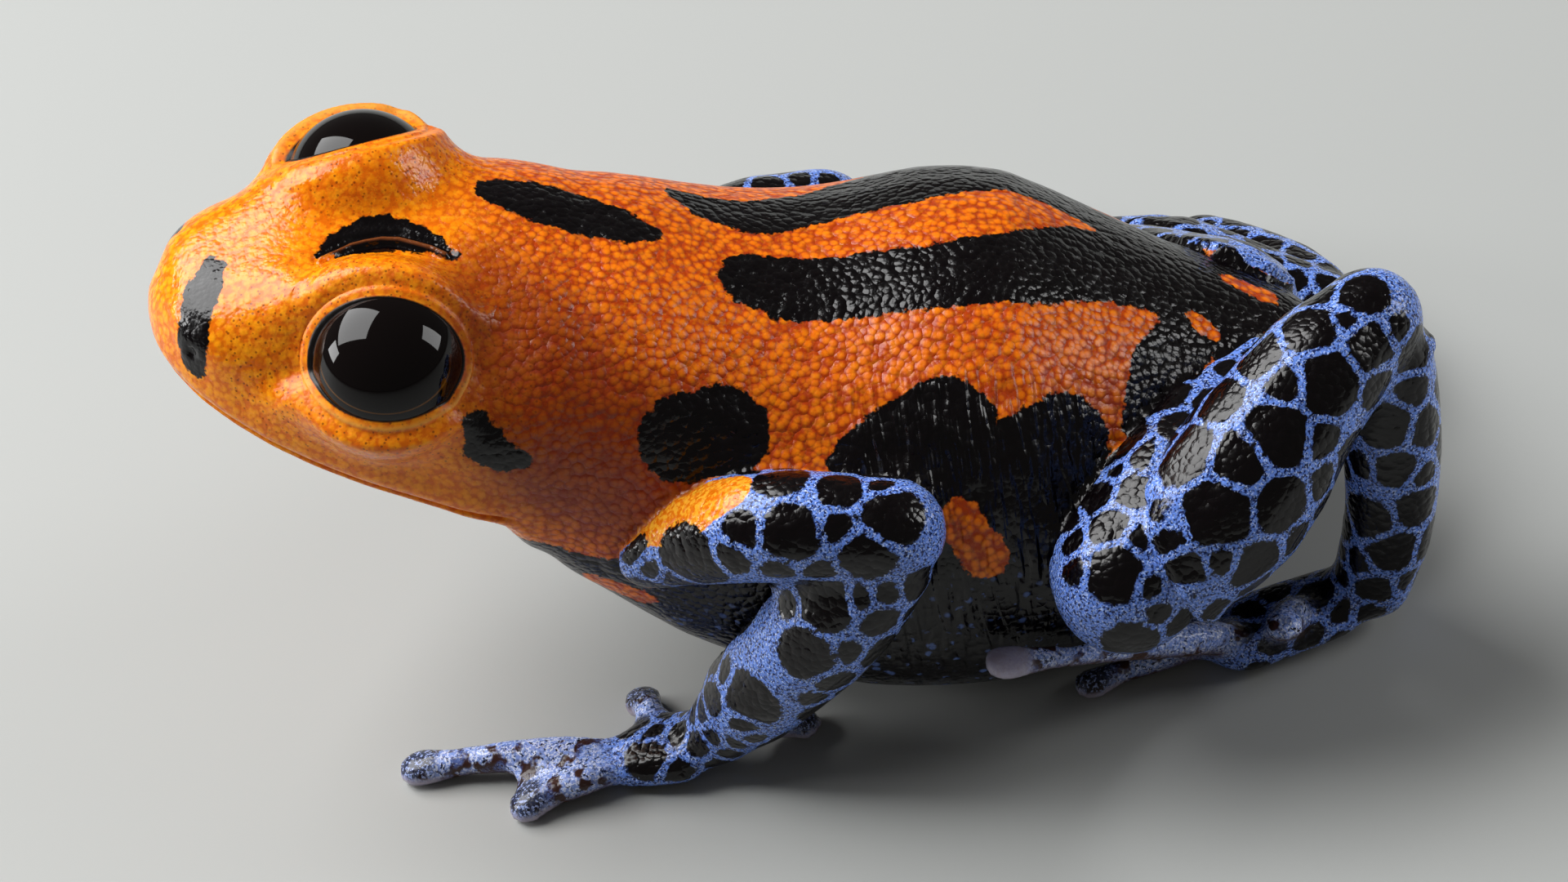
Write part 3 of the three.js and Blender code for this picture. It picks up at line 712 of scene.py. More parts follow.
# %% Blotches of the trunk and head
BLACK_CHAINS = {
    "nape": ((-4.3, .92, 10.4, .4), (-3.7, .72, 10.2, .56), (-2.9, .45, 9.9, .56),
             (-2.2, .2, 9.6, .46), (-1.75, .12, 9.45, .28)),
    "far stripe": ((-1.2, 1.6, 9.0, .24), (-.6, 1.3, 8.9, .48), (.2, 1.2, 8.6, .62),
                   (1.3, 1.7, 8.2, .68), (2.8, 2.3, 7.9, 1.2), (4.2, 2.6, 7.4, 1.2),
                   (5.4, 2.3, 7.0, .85), (6.4, 1.9, 6.8, .7), (7.4, 1.4, 6.5, .8)),
    "near stripe": ((.1, -.65, 8.8, .66), (.7, -.78, 8.6, .78), (1.9, -.75, 8.3, .74),
                    (3.4, -.85, 8.3, .74), (4.8, -.6, 8.0, .84), (6.2, .1, 7.2, .95),
                    (7.6, .4, 6.3, 1.1), (9.0, .6, 5.4, 1.2), (10.2, .5, 4.6, 1.3)),
    "hip": ((6.8, -2.7, 5.8, .6), (7.1, -1.9, 6.2, .6), (7.6, -1.3, 6.2, .62),
            (7.9, -.5, 6.2, .6), (8.6, -.9, 5.7, .6)),
    "shoulder": ((-1.55, -3.3, 7.6, .84), (-.85, -3.3, 7.55, .88)),
    "flank front": ((1.75, -3.8, 6.5, .9), (2.4, -3.6, 6.9, .85), (3.1, -3.5, 7.0, 1.0)),
    "flank back": ((4.1, -4.1, 6.1, 1.15), (5.15, -3.4, 6.2, .92)),
    "flank low": ((2.0, -4.4, 5.5, 1.2), (3.5, -4.6, 5.0, 1.4), (5.2, -4.3, 4.8, 1.4)),
    "ear": ((-5.15, -3.4, 8.75, .27), (-5.03, -3.55, 8.3, .4), (-4.75, -3.6, 8.0, .32),
            (-4.3, -3.6, 7.85, .12)),
    "brow": ((-7.5, -.7, 10.85, .1), (-7.1, -.45, 10.85, .33), (-6.6, -.26, 10.85, .46),
             (-6.2, -.24, 10.8, .46), (-5.9, -.31, 10.75, .4), (-5.5, -.48, 10.65, .27),
             (-5.15, -.75, 10.45, .1)),
    "throat": ((-4.7, -2.7, 5.0, .35), (-3.9, -3.1, 4.8, .45), (-3.2, -3.5, 4.9, .35)),
    "nostril": ((-9.5, -.6, 10.85, .3), (-9.7, -1.1, 10.6, .4), (-9.95, -1.6, 10.1, .38),
                (-10.05, -1.75, 9.7, .3)),
    "far shoulder": ((-1.4, 3.5, 7.0, .8), (-.6, 3.6, 6.9, .8)),
    "far flank": ((1.6, 3.9, 6.3, .9), (2.6, 3.7, 6.7, .85), (3.6, 4.2, 5.4, 1.2),
                  (5.1, 3.7, 5.8, .9), (5.4, 4.0, 4.4, 1.2)),
    "far hip": ((6.9, 2.8, 5.6, .7), (7.8, 2.2, 5.6, .7)),
    "far join": ((4.4, 3.4, 6.9, .7), (6.4, 3.4, 6.2, .85)),
}
ORANGE_CHAINS = {
    "behind the arm": ((3.15, -4.4, 5.7, .38), (3.5, -4.7, 4.85, .44)),
    "rump": ((8.6, .75, 5.8, .18), (9.2, .45, 5.4, .24)),
    "tail": ((7.8, -.6, 6.15, .14), (8.1, -.85, 5.95, .18)),
    "far rump": ((8.3, 2.0, 5.6, .16), (8.9, 1.9, 5.2, .2)),
    "chest": ((-3.6, -3.2, 4.3, .3), (-2.8, -3.4, 4.0, .3)),
}
BELLY_EDGE_X = (-11, -6.5, -4.5, -2.5, 0, 3, 6, 11)    # mm, black below this line
BELLY_EDGE_Z = (5.0, 6.0, 5.6, 4.6, 5.4, 5.6, 5.4, 5.6)
print(len(BLACK_CHAINS), "black marks,", len(ORANGE_CHAINS), "orange ones")

# %% The marks' depth


def mirrored(chain):
    """The same mark on the other side of the leaning head."""
    balls = np.array(chain, float)
    flipped = upright(balls[:, :3] + FROG_ZERO) * (1, -1, 1)
    return np.column_stack((leaning(flipped) - FROG_ZERO, balls[:, 3]))


BLACK_CHAINS["far ear"] = mirrored(BLACK_CHAINS["ear"])
BLACK_CHAINS["far nostril"] = mirrored(((-9.9, -1.45, 10.1, .3), (-9.9, -1.9, 9.6, .3)))

points = points_of(skin)
own = points - FROG_ZERO
marks = np.max([chain_depth(points, chain) for chain in BLACK_CHAINS.values()], axis=0)
belly_edge = np.interp(own[:, 0], BELLY_EDGE_X, BELLY_EDGE_Z)
waves = 0.2 * np.sin(1.7 * own[:, 1]) + 0.13 * np.sin(4.3 * own[:, 1] + 1.9 * own[:, 0])
belly_edge += waves * ramp(own[:, 1], -2.6, -0.6)    # an uneven edge round the throat
marks = np.maximum(marks, belly_edge - own[:, 2])
for chain in ORANGE_CHAINS.values():
    marks = np.minimum(marks, -chain_depth(points, chain))
print("black on", round(100 * float((marks > 0).mean())), "% of the skin's points")

# %% [markdown]
# ## The net on the limbs
#
# The limbs are black under a light blue net: black spots of unequal size, packed so that
# thin blue lines are left between them. A Voronoi texture gives such a net at once, but all
# its cells are alike in size. So the spots are placed: by how far along its limb each lies,
# how many degrees round from the top, and its radius. The sides that the picture doesn't
# show get spots from a fixed draw. A point is black where its nearest spot is clearly
# nearer than the next one, which makes the lines of the net.

# %% Spots of the limbs
LIMBS = {
    "upper_arm_left": ((-2.5, -3.45, 5.25), (1.95, -5.15, 6.35)),
    "forearm_left": ((1.95, -5.15, 6.2), (-1.85, -4.2, 1.0)),
    "hand_left": ((-1.7, -4.15, .88), (-3.4, -4.1, .42)),
    "thigh_left": ((8.3, -1.3, 4.3), (5.95, -5.15, 4.3)),
    "shank_left": ((6.0, -5.2, 4.2), (11.0, -2.4, 7.2)),
    "tarsus_left": ((11.1, -2.4, 7.0), (10.4, -2.85, 1.0)),
    "foot_left": ((10.4, -2.85, .85), (8.0, -3.2, .44)),
    "upper_arm_right": ((-2.4, 3.1, 4.6), (1.15, 5.2, 4.6)),
    "forearm_right": ((1.15, 5.2, 4.5), (-1.8, 5.4, .98)),
    "hand_right": ((-1.8, 5.4, .9), (-3.1, 5.6, .42)),
    "thigh_right": ((8.3, 1.3, 4.0), (5.8, 4.7, 2.35)),
    "shank_right": ((5.8, 4.7, 2.35), (10.3, 3.5, 1.75)),
    "tarsus_right": ((10.3, 3.5, 1.75), (8.2, 6.9, .85)),
    "foot_right": ((8.2, 6.9, .85), (5.9, 7.7, .42)),
}
SEEN_SPOTS = {
    "shank_left": (
        (1.03, 12, .36), (.94, -23, .26), (.86, 6, .42), (.95, 22, .15), (.71, -6, .4),
        (.94, 55, .38), (1.01, 114, .34), (.55, -4, .4), (.7, 28, .28), (.78, 46, .5),
        (.38, 8, .5), (.59, 43, .52), (.66, 66, .25), (.46, 37, .44), (.32, 47, .54),
        (.45, 70, .42), (.19, 26, .26), (.13, 61, .38), (.22, 69, .2), (.28, 87, .4),
        (.09, 72, .28), (.87, 84, .3), (.67, 105, .42)),
    "thigh_left": (
        (.88, -28, .34), (.86, 0, .25), (.69, -5, .23), (1.03, -7, .32), (1.1, -33, .22),
        (1.21, 16, .45), (1.04, 32, .32), (1.22, -29, .2), (1.19, 68, .2)),
    "tarsus_left": (
        (.25, 90, .44), (.29, 42, .3), (.42, 77, .28), (.64, 105, .38), (.59, 52, .33),
        (.76, 74, .36), (1.0, 164, .28), (.94, 92, .25), (.83, 124, .17), (.92, 158, .16)),
    "upper_arm_left": (
        (.67, 3, .38), (.9, 6, .3), (1.1, 28, .44), (.74, 46, .4), (.3, 64, .58),
        (.99, 72, .38), (.02, 50, .26)),
    "forearm_left": (
        (.19, 63, .46), (.4, 80, .34), (.66, 73, .46), (.4, 23, .26), (.57, 26, .28),
        (.14, 114, .24), (1.01, 65, .22), (.87, 96, .13)),
    "hand_left": ((.87, 50, .3), (1.0, -56, .22)),
}
print(sum(len(rows) for rows in SEEN_SPOTS.values()), "spots seen on", len(SEEN_SPOTS), "parts")

# %% A place on a limb's skin
surface = BVHTree.FromPolygons([tuple(p) for p in points],
                               [tuple(f.vertices) for f in skin.data.polygons])


def skin_place(limb, share, degrees):
    """The skin's point at a share of a limb's length and a turn from its top, outwards."""
    start, end = (np.array(p) + FROG_ZERO for p in LIMBS[limb])
    line = end - start
    along = line / np.linalg.norm(line)
    top = np.array((0, 0, 1.0)) - along[2] * along
    if np.linalg.norm(top) < 0.3:
        top = np.array((1.0, 0, 0)) - along[0] * along
    top /= np.linalg.norm(top)
    out = np.cross(along, top)
    if out[1] * (1 if limb.endswith("right") else -1) < 0:
        out = -out
    turn = math.radians(degrees)
    ray = Vector(math.cos(turn) * top + math.sin(turn) * out)
    base = Vector(start + line * min(share, 1))
    beyond = Vector(start + line * share) - base
    hit = surface.ray_cast(base + beyond * 0.5, ray)[0]
    if hit is None:
        return None
    return np.array(surface.find_nearest(hit + beyond * 0.5)[0])


spots = [(*skin_place(limb, share, degrees), radius)
         for limb, rows in SEEN_SPOTS.items() for share, degrees, radius in rows]
seen = len(spots)
print(seen, "spots found on the skin")

# %% Spots from the draw
ORANGE_ARM = ((-2.7, -3.8, 6.4, .6), (-1.9, -4.4, 6.9, .66), (-.9, -4.5, 7.4, .48))
ARM_EDGE = 0.45    # mm round the orange of the arm that gets no drawn spot
NET_SEED, TRIES, ROOM = 7, 5000, 0.064    # ROOM in mm, between two spots
SMALL_SPOT, SPOT_SIZES = (0.14, 0.24), (0.16, 0.24, 0.34, 0.44)    # mm
rng = np.random.default_rng(NET_SEED)
limb_list = sorted(LIMBS)
for _ in range(TRIES):
    limb = limb_list[rng.integers(len(limb_list))]
    share, degrees = rng.uniform(0, 1.05), rng.uniform(-180, 180)
    small = limb.startswith(("hand", "foot"))
    radius = rng.uniform(*SMALL_SPOT) if small else rng.choice(SPOT_SIZES)
    place = skin_place(limb, share, degrees)
    if place is None or chain_depth(place[None], ORANGE_ARM)[0] > -ARM_EDGE:
        continue
    others = np.array(spots)
    room = np.linalg.norm(others[:, :3] - place, axis=1) - others[:, 3] - radius
    if room.min() > ROOM:
        spots.append((*place, radius))
spots = np.array(spots)
print(seen, "spots from the picture,", len(spots) - seen, "more from the draw")

# %% The net's depth
NET_LINE, SPOT_GROWTH = 0.14, 0.17    # mm
edges = edges_of(skin)
limbs = share_of(owner, edges, LIMB_NAMES, 6)
digits = share_of(owner, edges, DIGITS, 3)
on_limbs = np.flatnonzero(limbs + digits > 0.02)
net = np.full(len(points), -0.3)
for chunk in np.array_split(on_limbs, 20):
    apart = np.linalg.norm(points[chunk, None] - spots[None, :, :3], axis=2) - spots[:, 3]
    apart.partition(1, axis=1)
    first, second = apart[:, 0], apart[:, 1]
    net[chunk] = np.minimum(second - first - NET_LINE, SPOT_GROWTH - first)
cover = ramp(limbs + digits, 0.25, 0.75)
ink = marks * (1 - cover) + net * cover
arm_patch = ramp(chain_depth(points, ORANGE_ARM), -0.15, 0.1)
blue = cover * (1 - arm_patch)
print("net drawn on", len(on_limbs), "points")

# %% [markdown]
# ## What else the material needs to know
#
# Digits end in round pads, dark on top and pale below. The near lid has a thin pale rim, painted
# shade makes the orange browner behind the eye, a painted highlight lies along the fold over the
# near eye, and the flank has folds. Each of these gets a number from 0 to 1 on every point.
# Vertex colours would do as well, but one number for each finish can still be changed in the
# material.

# %% Pads
PAD_REACH, CAP_REACH = (0.42, 0.6), (0.38, 0.58)    # mm from a pad's middle: full, none
LIFTED = (1.8, 2.2)    # mm above the floor
PADS = (
    (-.45, -3.65, .24), (-3.35, -2.55, .24), (-7.6, -3.45, .24), (-5.6, -4.75, .24),
    (-1.8, 3.9, .24), (-4.1, 4.5, .24), (-6.3, 6.2, .24), (-4.6, 7.2, .24),
    (7.5, -1.9, .24), (6.2, -2.55, .24), (5.05, -3.65, .24), (3.54, -5.42, 2.87),
    (5.3, 6.5, .24), (3.9, 7.1, .24), (2.7, 8.1, .24),
    (1.7, 9.1, .24), (4.1, 9.5, .24),
)
pad_places = np.array(PADS) + FROG_ZERO
pad_away = np.min(np.linalg.norm(points[:, None] - pad_places[None], axis=2), axis=1)
upward = normals_of(skin)[:, 2]
lifted = ramp(points[:, 2], *LIFTED)
underside = np.maximum(ramp(-upward, -0.3, 0.15), lifted)
underside = np.maximum(underside, ramp(-points[:, 2], -0.3, -0.14))
on_digit = ramp(digits, 0.2, 0.6)
pad = (1 - ramp(pad_away, *PAD_REACH)) * on_digit * underside
cap = (1 - ramp(pad_away, *CAP_REACH)) * ramp(upward, 0.05, 0.45) * (1 - lifted)
print(len(PADS), "pads on", int((pad > 0.5).sum()), "points")

# %% Lid edges and rims
RIM_MIDDLE, RIM_WIDTH = 0.08, 0.035    # mm beyond the lid's edge
FAR_OFF = 9.0    # mm, wherever there's no lid
lid_away, rim = np.full(len(points), FAR_OFF), np.zeros(len(points))
for eye in EYES.values():
    reach, off, turn = eye_angles(points, eye)
    near = reach < NEAR_EYE
    beyond = (off - margin_angle(turn, eye)) * reach
    lid_away = np.minimum(lid_away, np.where(near, beyond, FAR_OFF))
    below = ramp(np.sin(turn), -0.15, 0.35)
    rim = np.maximum(rim, near * below * np.exp(-((beyond - RIM_MIDDLE) / RIM_WIDTH) ** 2))
print("rim on", int((rim > 0.5).sum()), "points")

# %% Painted shade behind the eye, flank and the other zones
# painted shade: a chain of balls behind the near eye, where the orange is darkened because shade
# falls there
SHADE_BEHIND_EYE_CHAIN = ((-4.7, -1.5, 10.1, .5), (-4.0, -2.6, 9.4, .9), (-3.6, -3.3, 8.0, 1.2),
        (-2.6, -3.5, 7.2, 1.2), (-1.6, -3.7, 6.6, .9))    # behind the near eye
x, y, z = own.T
flank = ramp(np.abs(y), 2.4, 3.0) * ramp(x, 0.8, 1.8) * ramp(-x, -6.2, -5.2)
STORED = {
    "ink": ink,
    "blue": blue,
    "cover": cover,
    "digit": digits,
    "under": digits * ramp(-upward, -0.1, 0.45),
    "pad": pad,
    "cap": cap * on_digit,
    "lid": lid_away,
    "rim": rim,
    "fold": fold_away(points),
    "flank": flank * (1 - cover),
    "dusk": ramp(chain_depth(points, SHADE_BEHIND_EYE_CHAIN), -1.2, 0.2),
    "face": ramp(-x, 3.5, 6),
    "snout": ramp(-x, 6.5, 10),
    "belly": (1 - cover) * ramp(belly_edge - z, 0.3, 2.0),
}
for name, values in STORED.items():
    write_attribute(skin, name, values)
    print(name, "from", round(float(values.min()), 2), "to", round(float(values.max()), 2))

# %% [markdown]
# ## The skin's material
#
# One material does the whole skin, because a material for each mark would leave a ruled, stepped
# border along the faces. Its colours are chosen by the stored depths, with a little noise on
# each edge, as on a living frog. Fine grains raise the surface, and the colour is lighter on
# their tops and darker between them, as painted shade in the hollows. Everything is moist, so
# the roughness is low.

# %% Node helpers


def node_maker(material):
    """Returns a function that adds a node and sets or links its inputs."""
    tree = material.node_tree

    def add(kind, inputs=None, **settings):
        node = tree.nodes.new("ShaderNode" + kind)
        for name, value in settings.items():
            setattr(node, name, value)
        for name, value in (inputs or {}).items():
            if isinstance(value, bpy.types.NodeSocket):
                tree.links.new(value, node.inputs[name])
            else:
                node.inputs[name].default_value = value
        return node

    return add


def blank_material(name):
    material = bpy.data.materials.new(name)
    material.use_nodes = True
    return material, node_maker(material), material.node_tree.nodes["Principled BSDF"]


def rgb(red, green, blue_part):
    """A colour given as it looks on a screen, 0 to 255, turned into light."""
    values = [c / 255 for c in (red, green, blue_part)]
    return (*[c / 12.92 if c < 0.04045 else ((c + 0.055) / 1.055) ** 2.4 for c in values], 1)


# %% The skin's blank material and its small helpers
material, add, shader = blank_material("frog_skin")
links = material.node_tree.links


def stored(name):
    return add("Attribute", attribute_name=name).outputs["Fac"]


def maths(operation, a, b=0.0):
    return add("Math", {0: a, 1: b}, operation=operation).outputs[0]


def between(value, low, high, to_low=0.0, to_high=1.0):
    return add("MapRange", {"Value": value, "From Min": low, "From Max": high,
                            "To Min": to_low, "To Max": to_high},
               interpolation_type="SMOOTHSTEP").outputs["Result"]


def mix(share, a, b):
    node = add("Mix", data_type="RGBA")
    for socket, value in ((node.inputs[0], share), (node.inputs[6], a), (node.inputs[7], b)):
        if isinstance(value, bpy.types.NodeSocket):
            links.new(value, socket)
        else:
            socket.default_value = value
    return node.outputs[2]


place_mm = add("Mapping", {"Vector": add("TexCoord").outputs["Object"],
                           "Scale": (1 / MM, 1 / MM, 1 / MM)}).outputs["Vector"]


def noise(scale, detail=2.0, roughness=0.5):
    return add("TexNoise", {"Vector": place_mm, "Scale": scale, "Detail": detail,
                            "Roughness": roughness}).outputs["Fac"]


def cells(scale):
    return add("TexVoronoi", {"Vector": place_mm, "Scale": scale})


def part_of(value, amount):
    """A share of a value, for mixes that stay partly see-through."""
    return maths("MULTIPLY", value, amount)


def less(value, amount):
    """1 where the value is 0, and lower by the amount where it is 1."""
    return maths("SUBTRACT", 1.0, part_of(value, amount))


def swing(value, amount):
    """A noise of 0 to 1, made to swing round 0."""
    return part_of(maths("SUBTRACT", value, 0.5), amount)


on_limb, face, lid = stored("cover"), stored("face"), stored("lid")
print("helpers for", material.name)

# %% Uneven edges of the marks
SOFT_EDGE = 0.025    # mm
broad, rough_edge, fine_edge = noise(0.9), noise(4.5), noise(18, 3)
wobble = maths("ADD", swing(rough_edge, 0.26), swing(fine_edge, 0.07))
lace = maths("MULTIPLY", swing(noise(9, 3, 0.7), 0.2), on_limb)
calmer_wobble = maths("MULTIPLY", wobble, less(on_limb, 0.5))
ink_depth = maths("ADD", maths("ADD", stored("ink"), lace), calmer_wobble)
inked = between(ink_depth, -SOFT_EDGE, SOFT_EDGE)
blued = between(maths("ADD", stored("blue"), part_of(wobble, 1.6)), 0.4, 0.6)
print("marks fade over", 2 * SOFT_EDGE, "mm")

# %% Orange with painted shade in the valleys between grains
GRAINS, FINE_GRAINS, PINPRICKS = 6.4, 13, 9.5    # to the millimetre
VALLEY_SHADE_DARK, VALLEY_SHADE_BACK, VALLEY_SHADE_FACE = rgb(140, 30, 0), rgb(176, 48, 1), rgb(216, 98, 3)
BRIGHT_BACK, BRIGHT_FACE, BRIGHT_SNOUT = rgb(248, 126, 4), rgb(250, 144, 6), rgb(252, 160, 14)
GOLDEN, SHADE_BEHIND_EYE_BROWN, BROWN_DOT = rgb(255, 166, 24), rgb(112, 30, 2), rgb(110, 44, 4)
grain = cells(GRAINS).outputs["Distance"]
grain_top = less(maths("MULTIPLY", grain, grain), 1.6)
fine_top = less(cells(FINE_GRAINS).outputs["Distance"], 1.2)
valley_shade = mix(face, mix(broad, VALLEY_SHADE_DARK, VALLEY_SHADE_BACK), VALLEY_SHADE_FACE)
bright = mix(stored("snout"), mix(face, BRIGHT_BACK, BRIGHT_FACE), BRIGHT_SNOUT)
# painted shade: the colour darkens from each grain's top into the valleys between grains; the
# valley tones themselves vary at random
orange = mix(between(grain_top, 0.35, 1.0, 0.1, 0.8), valley_shade, bright)
golden = maths("MULTIPLY", between(noise(7.5, 3, 0.6), 0.45, 0.65),
               maths("ADD", part_of(face, 0.35), 0.2))
orange = mix(golden, orange, GOLDEN)
# painted shade: the orange turns dark brown behind the near eye
orange = mix(part_of(stored("dusk"), 0.72), orange, SHADE_BEHIND_EYE_BROWN)
pinprick = maths("MULTIPLY", between(cells(PINPRICKS).outputs["Distance"], 0.27, 0.16),
                 part_of(between(lid, 2.4, 0.8), 0.7))
orange = mix(pinprick, orange, BROWN_DOT)
print("grains", round(1 / GRAINS, 2), "mm across")

# %% Blue net, orange of the arm, and black
NET_DEEP, NET_BLUE, NET_GLINT = rgb(18, 30, 80), rgb(102, 138, 224), rgb(180, 200, 246)
ARM_DEEP, ARM_PALE = rgb(232, 120, 6), rgb(255, 184, 50)
BLACK, WARM_BLACK, BELLY_SPECK = rgb(2, 1, 2), rgb(9, 4, 6), rgb(74, 96, 150)
pale_blue = mix(between(fine_edge, 0.4, 0.54), NET_DEEP, NET_BLUE)
pale_blue = mix(between(noise(26, 2), 0.55, 0.66), pale_blue, NET_GLINT)
arm_orange = mix(between(noise(10, 3, 0.6), 0.42, 0.6), ARM_DEEP, ARM_PALE)
orange = mix(part_of(on_limb, 0.75), orange, arm_orange)
speck = maths("MULTIPLY", between(cells(4.2).outputs["Distance"], 0.42, 0.2),
              maths("MULTIPLY", stored("belly"), between(rough_edge, 0.5, 0.58)))
black = mix(speck, mix(broad, BLACK, WARM_BLACK), BELLY_SPECK)
skin_colour = mix(inked, mix(blued, orange, pale_blue), black)
print("net and black are on")

# %% Digits, lids and fold
LACE_DEEP, LACE_BLUE, LACE_GLINT = rgb(16, 15, 30), rgb(132, 154, 216), rgb(206, 214, 240)
DIGIT_BROWN, SOLE_BROWN, PAD_PALE = rgb(56, 34, 30), rgb(74, 44, 34), rgb(172, 164, 182)
CAP_BLACK, CAP_GLINT = rgb(18, 12, 18), rgb(150, 166, 214)
SOCKET_SHADE_BLACK, RIM_PALE, FOLD_HIGHLIGHT = rgb(8, 4, 3), rgb(226, 160, 70), rgb(128, 70, 34)
digit_lace = mix(between(noise(13, 3, 0.6), 0.38, 0.5), LACE_DEEP, LACE_BLUE)
digit_lace = mix(between(noise(22, 2), 0.5, 0.6), digit_lace, LACE_GLINT)
digit_colour = mix(between(noise(2.6), 0.54, 0.62), digit_lace, DIGIT_BROWN)
dark_cap = mix(between(noise(16, 3, 0.6), 0.53, 0.6), CAP_BLACK, CAP_GLINT)
LAYERS = (    # from below to the top: where, and in which colour
    (maths("MULTIPLY", stored("digit"), between(noise(2.2), 0.35, 0.5, 0.5, 1.0)), digit_colour),
    (part_of(stored("cap"), 0.9), dark_cap),
    (part_of(stored("under"), 0.85), SOLE_BROWN),
    (part_of(stored("pad"), 0.9), PAD_PALE),
    # painted shade: black where the skin drops into the socket behind the eyeball
    (between(lid, 0.0, -0.04), SOCKET_SHADE_BLACK),
    (part_of(stored("rim"), 0.8), RIM_PALE),
    # painted highlight: a lighter line along the crest of the fold over the near eye
    (part_of(between(stored("fold"), 0.06, 0.02), 0.7), FOLD_HIGHLIGHT),
)
for share, colour in LAYERS:
    skin_colour = mix(share, skin_colour, colour)
links.new(skin_colour, shader.inputs["Base Color"])
print(len(LAYERS), "layers over the ground colour")

# %% Relief
RELIEF = 0.03    # mm
PLEATS = (4.6, 0.9, 0.9)    # of the flank, to the millimetre along each axis
height = maths("ADD", maths("MULTIPLY", grain_top, less(face, 0.75)), part_of(fine_top, 0.22))
smooth = maths("MAXIMUM", stored("pad"), between(lid, 0.12, 0.02))
height = maths("MULTIPLY", height, less(smooth, 0.9))
height = maths("MULTIPLY", height, less(on_limb, 0.4))
pleat_place = add("Mapping", {"Vector": place_mm, "Scale": PLEATS}).outputs["Vector"]
pleat = add("TexNoise", {"Vector": pleat_place, "Scale": 1.0, "Detail": 1.5}).outputs["Fac"]
pleat = maths("MULTIPLY", between(pleat, 0.38, 0.62), part_of(stored("flank"), 2.2))
height = maths("ADD", maths("MULTIPLY", height, less(stored("flank"), 0.5)), pleat)
bump = add("Bump", {"Height": height, "Strength": 0.75, "Distance": RELIEF * MM})
links.new(bump.outputs["Normal"], shader.inputs["Normal"])
print("relief of", RELIEF, "mm")

# %% Wetness
WETTEST, DRIEST, BACK_DRIER, INK_WETTER, LID_DRIER = 0.12, 0.24, 0.15, 0.12, 0.18
back = maths("SUBTRACT", 1.0, maths("MAXIMUM", on_limb, face))
gloss = maths("ADD", between(noise(3.0), 0.3, 0.7, WETTEST, DRIEST), part_of(back, BACK_DRIER))
gloss = maths("SUBTRACT", gloss, part_of(maths("MULTIPLY", back, inked), INK_WETTER))
gloss = maths("ADD", gloss, part_of(between(lid, 0.8, 0.15), LID_DRIER))
links.new(gloss, shader.inputs["Roughness"])
shader.inputs["Specular IOR Level"].default_value = 0.32
shader.inputs["Subsurface Weight"].default_value = 0.06
shader.inputs["Subsurface Radius"].default_value = (1.0, 0.35, 0.12)
shader.inputs["Subsurface Scale"].default_value = 0.25 * MM
skin.data.materials.append(material)
print("skin material has", len(material.node_tree.nodes), "nodes")

# %% [markdown]
# ## Eyeballs
#
# The eye is nearly black and as wet as glass. A thin golden ring lies round the pupil and shows
# only where light catches it, so the material paints it on the lower half of the eye only, as
# painted light on a real ring. It could be a separate thin ring of metal, but on a real eye it
# lies under the wet surface, so it's a line in the material. A ball is enough for the shape, a
# little fuller in front, where the cornea is.

# %% The wet eye's material
RING_WIDTH, RING_STRENGTH = 0.022, 0.55    # as a share of the ring's size, and how clear it is
EYE_BLACK, EYE_GOLD = rgb(10, 6, 6), rgb(120, 78, 30)
wet_eye, add, shader = blank_material("wet_eye")
ring = add("Attribute", attribute_name="ring").outputs["Fac"]
away = add("Math", {0: ring}, operation="ABSOLUTE").outputs[0]
line = add("MapRange", {"Value": away, "From Min": 0.0, "From Max": RING_WIDTH,
                        "To Min": RING_STRENGTH, "To Max": 0.0}, interpolation_type="SMOOTHSTEP")
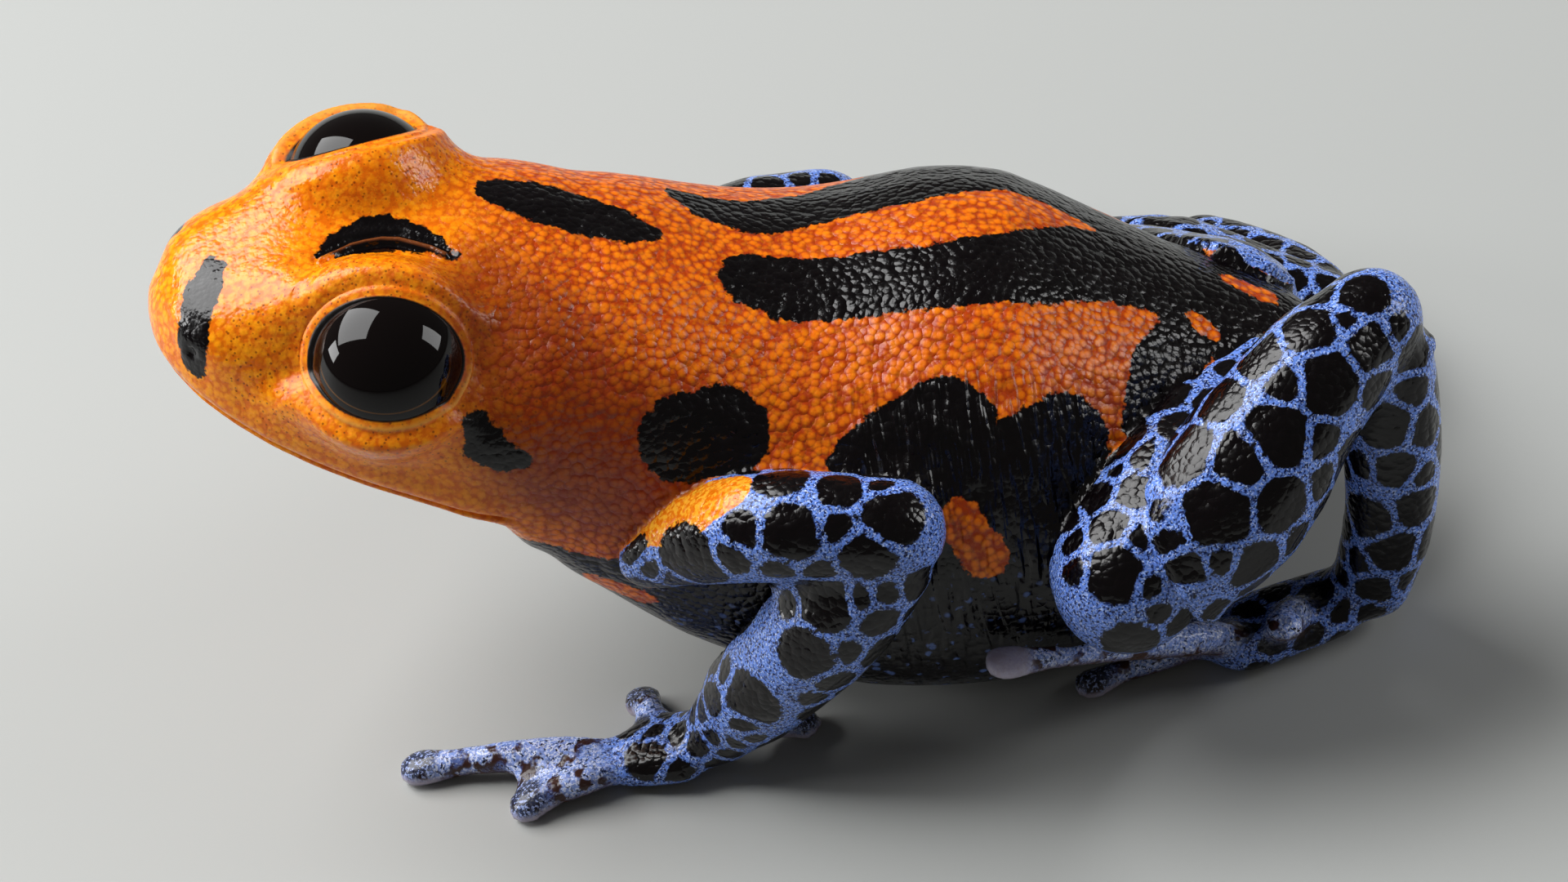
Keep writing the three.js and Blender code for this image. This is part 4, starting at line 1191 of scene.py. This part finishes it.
# painted light: the ring is shown only on the lower half, where light catches it
lit_lower_half = add("Attribute", attribute_name="lit_lower_half").outputs["Fac"]
seen = add("Math", {0: line.outputs["Result"], 1: lit_lower_half}, operation="MULTIPLY")
colour = add("Mix", data_type="RGBA")
colour.inputs[6].default_value, colour.inputs[7].default_value = EYE_BLACK, EYE_GOLD
wet_eye.node_tree.links.new(seen.outputs[0], colour.inputs[0])
wet_eye.node_tree.links.new(colour.outputs[2], shader.inputs["Base Color"])
shader.inputs["Roughness"].default_value = 0.04
shader.inputs["Specular IOR Level"].default_value = 0.24
print("eye material has", len(wet_eye.node_tree.nodes), "nodes")

# %% Eyeballs
CORNEA, RING_LONG, RING_HIGH = 0.02, 0.8, 0.66    # shares of the ball's radius
finished = [skin]
for name, eye in EYES.items():
    bpy.ops.mesh.primitive_uv_sphere_add(segments=96, ring_count=64, radius=1)
    ball = bpy.context.active_object
    ball.name = ball.data.name = "eyeball_" + name.split("_")[1]
    unit = points_of(ball)
    full = 1 + CORNEA * ramp(unit[:, 2], 0.3, 1.0)
    ring = np.hypot(unit[:, 0] / RING_LONG, unit[:, 1] / RING_HIGH) - 1
    # painted light: the half of the eye on which the ring is shown, where light catches it
    write_attribute(ball, "lit_lower_half", ramp(unit[:, 1], -0.05, 0.35))
    write_attribute(ball, "ring", np.where(unit[:, 2] > 0, ring, 1))
    set_points(ball, eye["centre"] + (unit * full[:, None] * eye["radius"]) @ eye["basis"])
    pick(ball)
    bpy.ops.object.mode_set(mode="EDIT")
    bpy.ops.mesh.select_all(action="SELECT")
    bpy.ops.mesh.normals_make_consistent(inside=False)
    bpy.ops.object.mode_set(mode="OBJECT")
    ball.data.materials.append(wet_eye)
    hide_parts(name)
    finished.append(ball)
    print(ball.name, "set at", np.round(eye["centre"], 2), "mm")

# %% [markdown]
# ## Put the pieces in the frame
#
# The skin stands for every flesh solid, and each eyeball for its own. All pieces shrink back
# to metres in their meshes, so that the objects stay at the origin, get smooth shading, and
# ride on the one body.

# %% Finish
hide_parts(*FLESH)
for piece in finished:
    piece.data.transform(Matrix.Scale(MM, 4))
    pick(piece)
    bpy.ops.object.shade_smooth()
    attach(piece, "root")
    print(piece.name, sum(len(f.vertices) - 2 for f in piece.data.polygons), "triangles")

# %% Sizes
NEW_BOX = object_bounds()
boxes = {"cad": [list(corner) for corner in CAD_BOX],
         "visual": [list(corner) for corner in NEW_BOX]}
for label, (low, high) in boxes.items():
    print(label, [round((b - a) / MM, 2) for a, b in zip(low, high)], "mm")
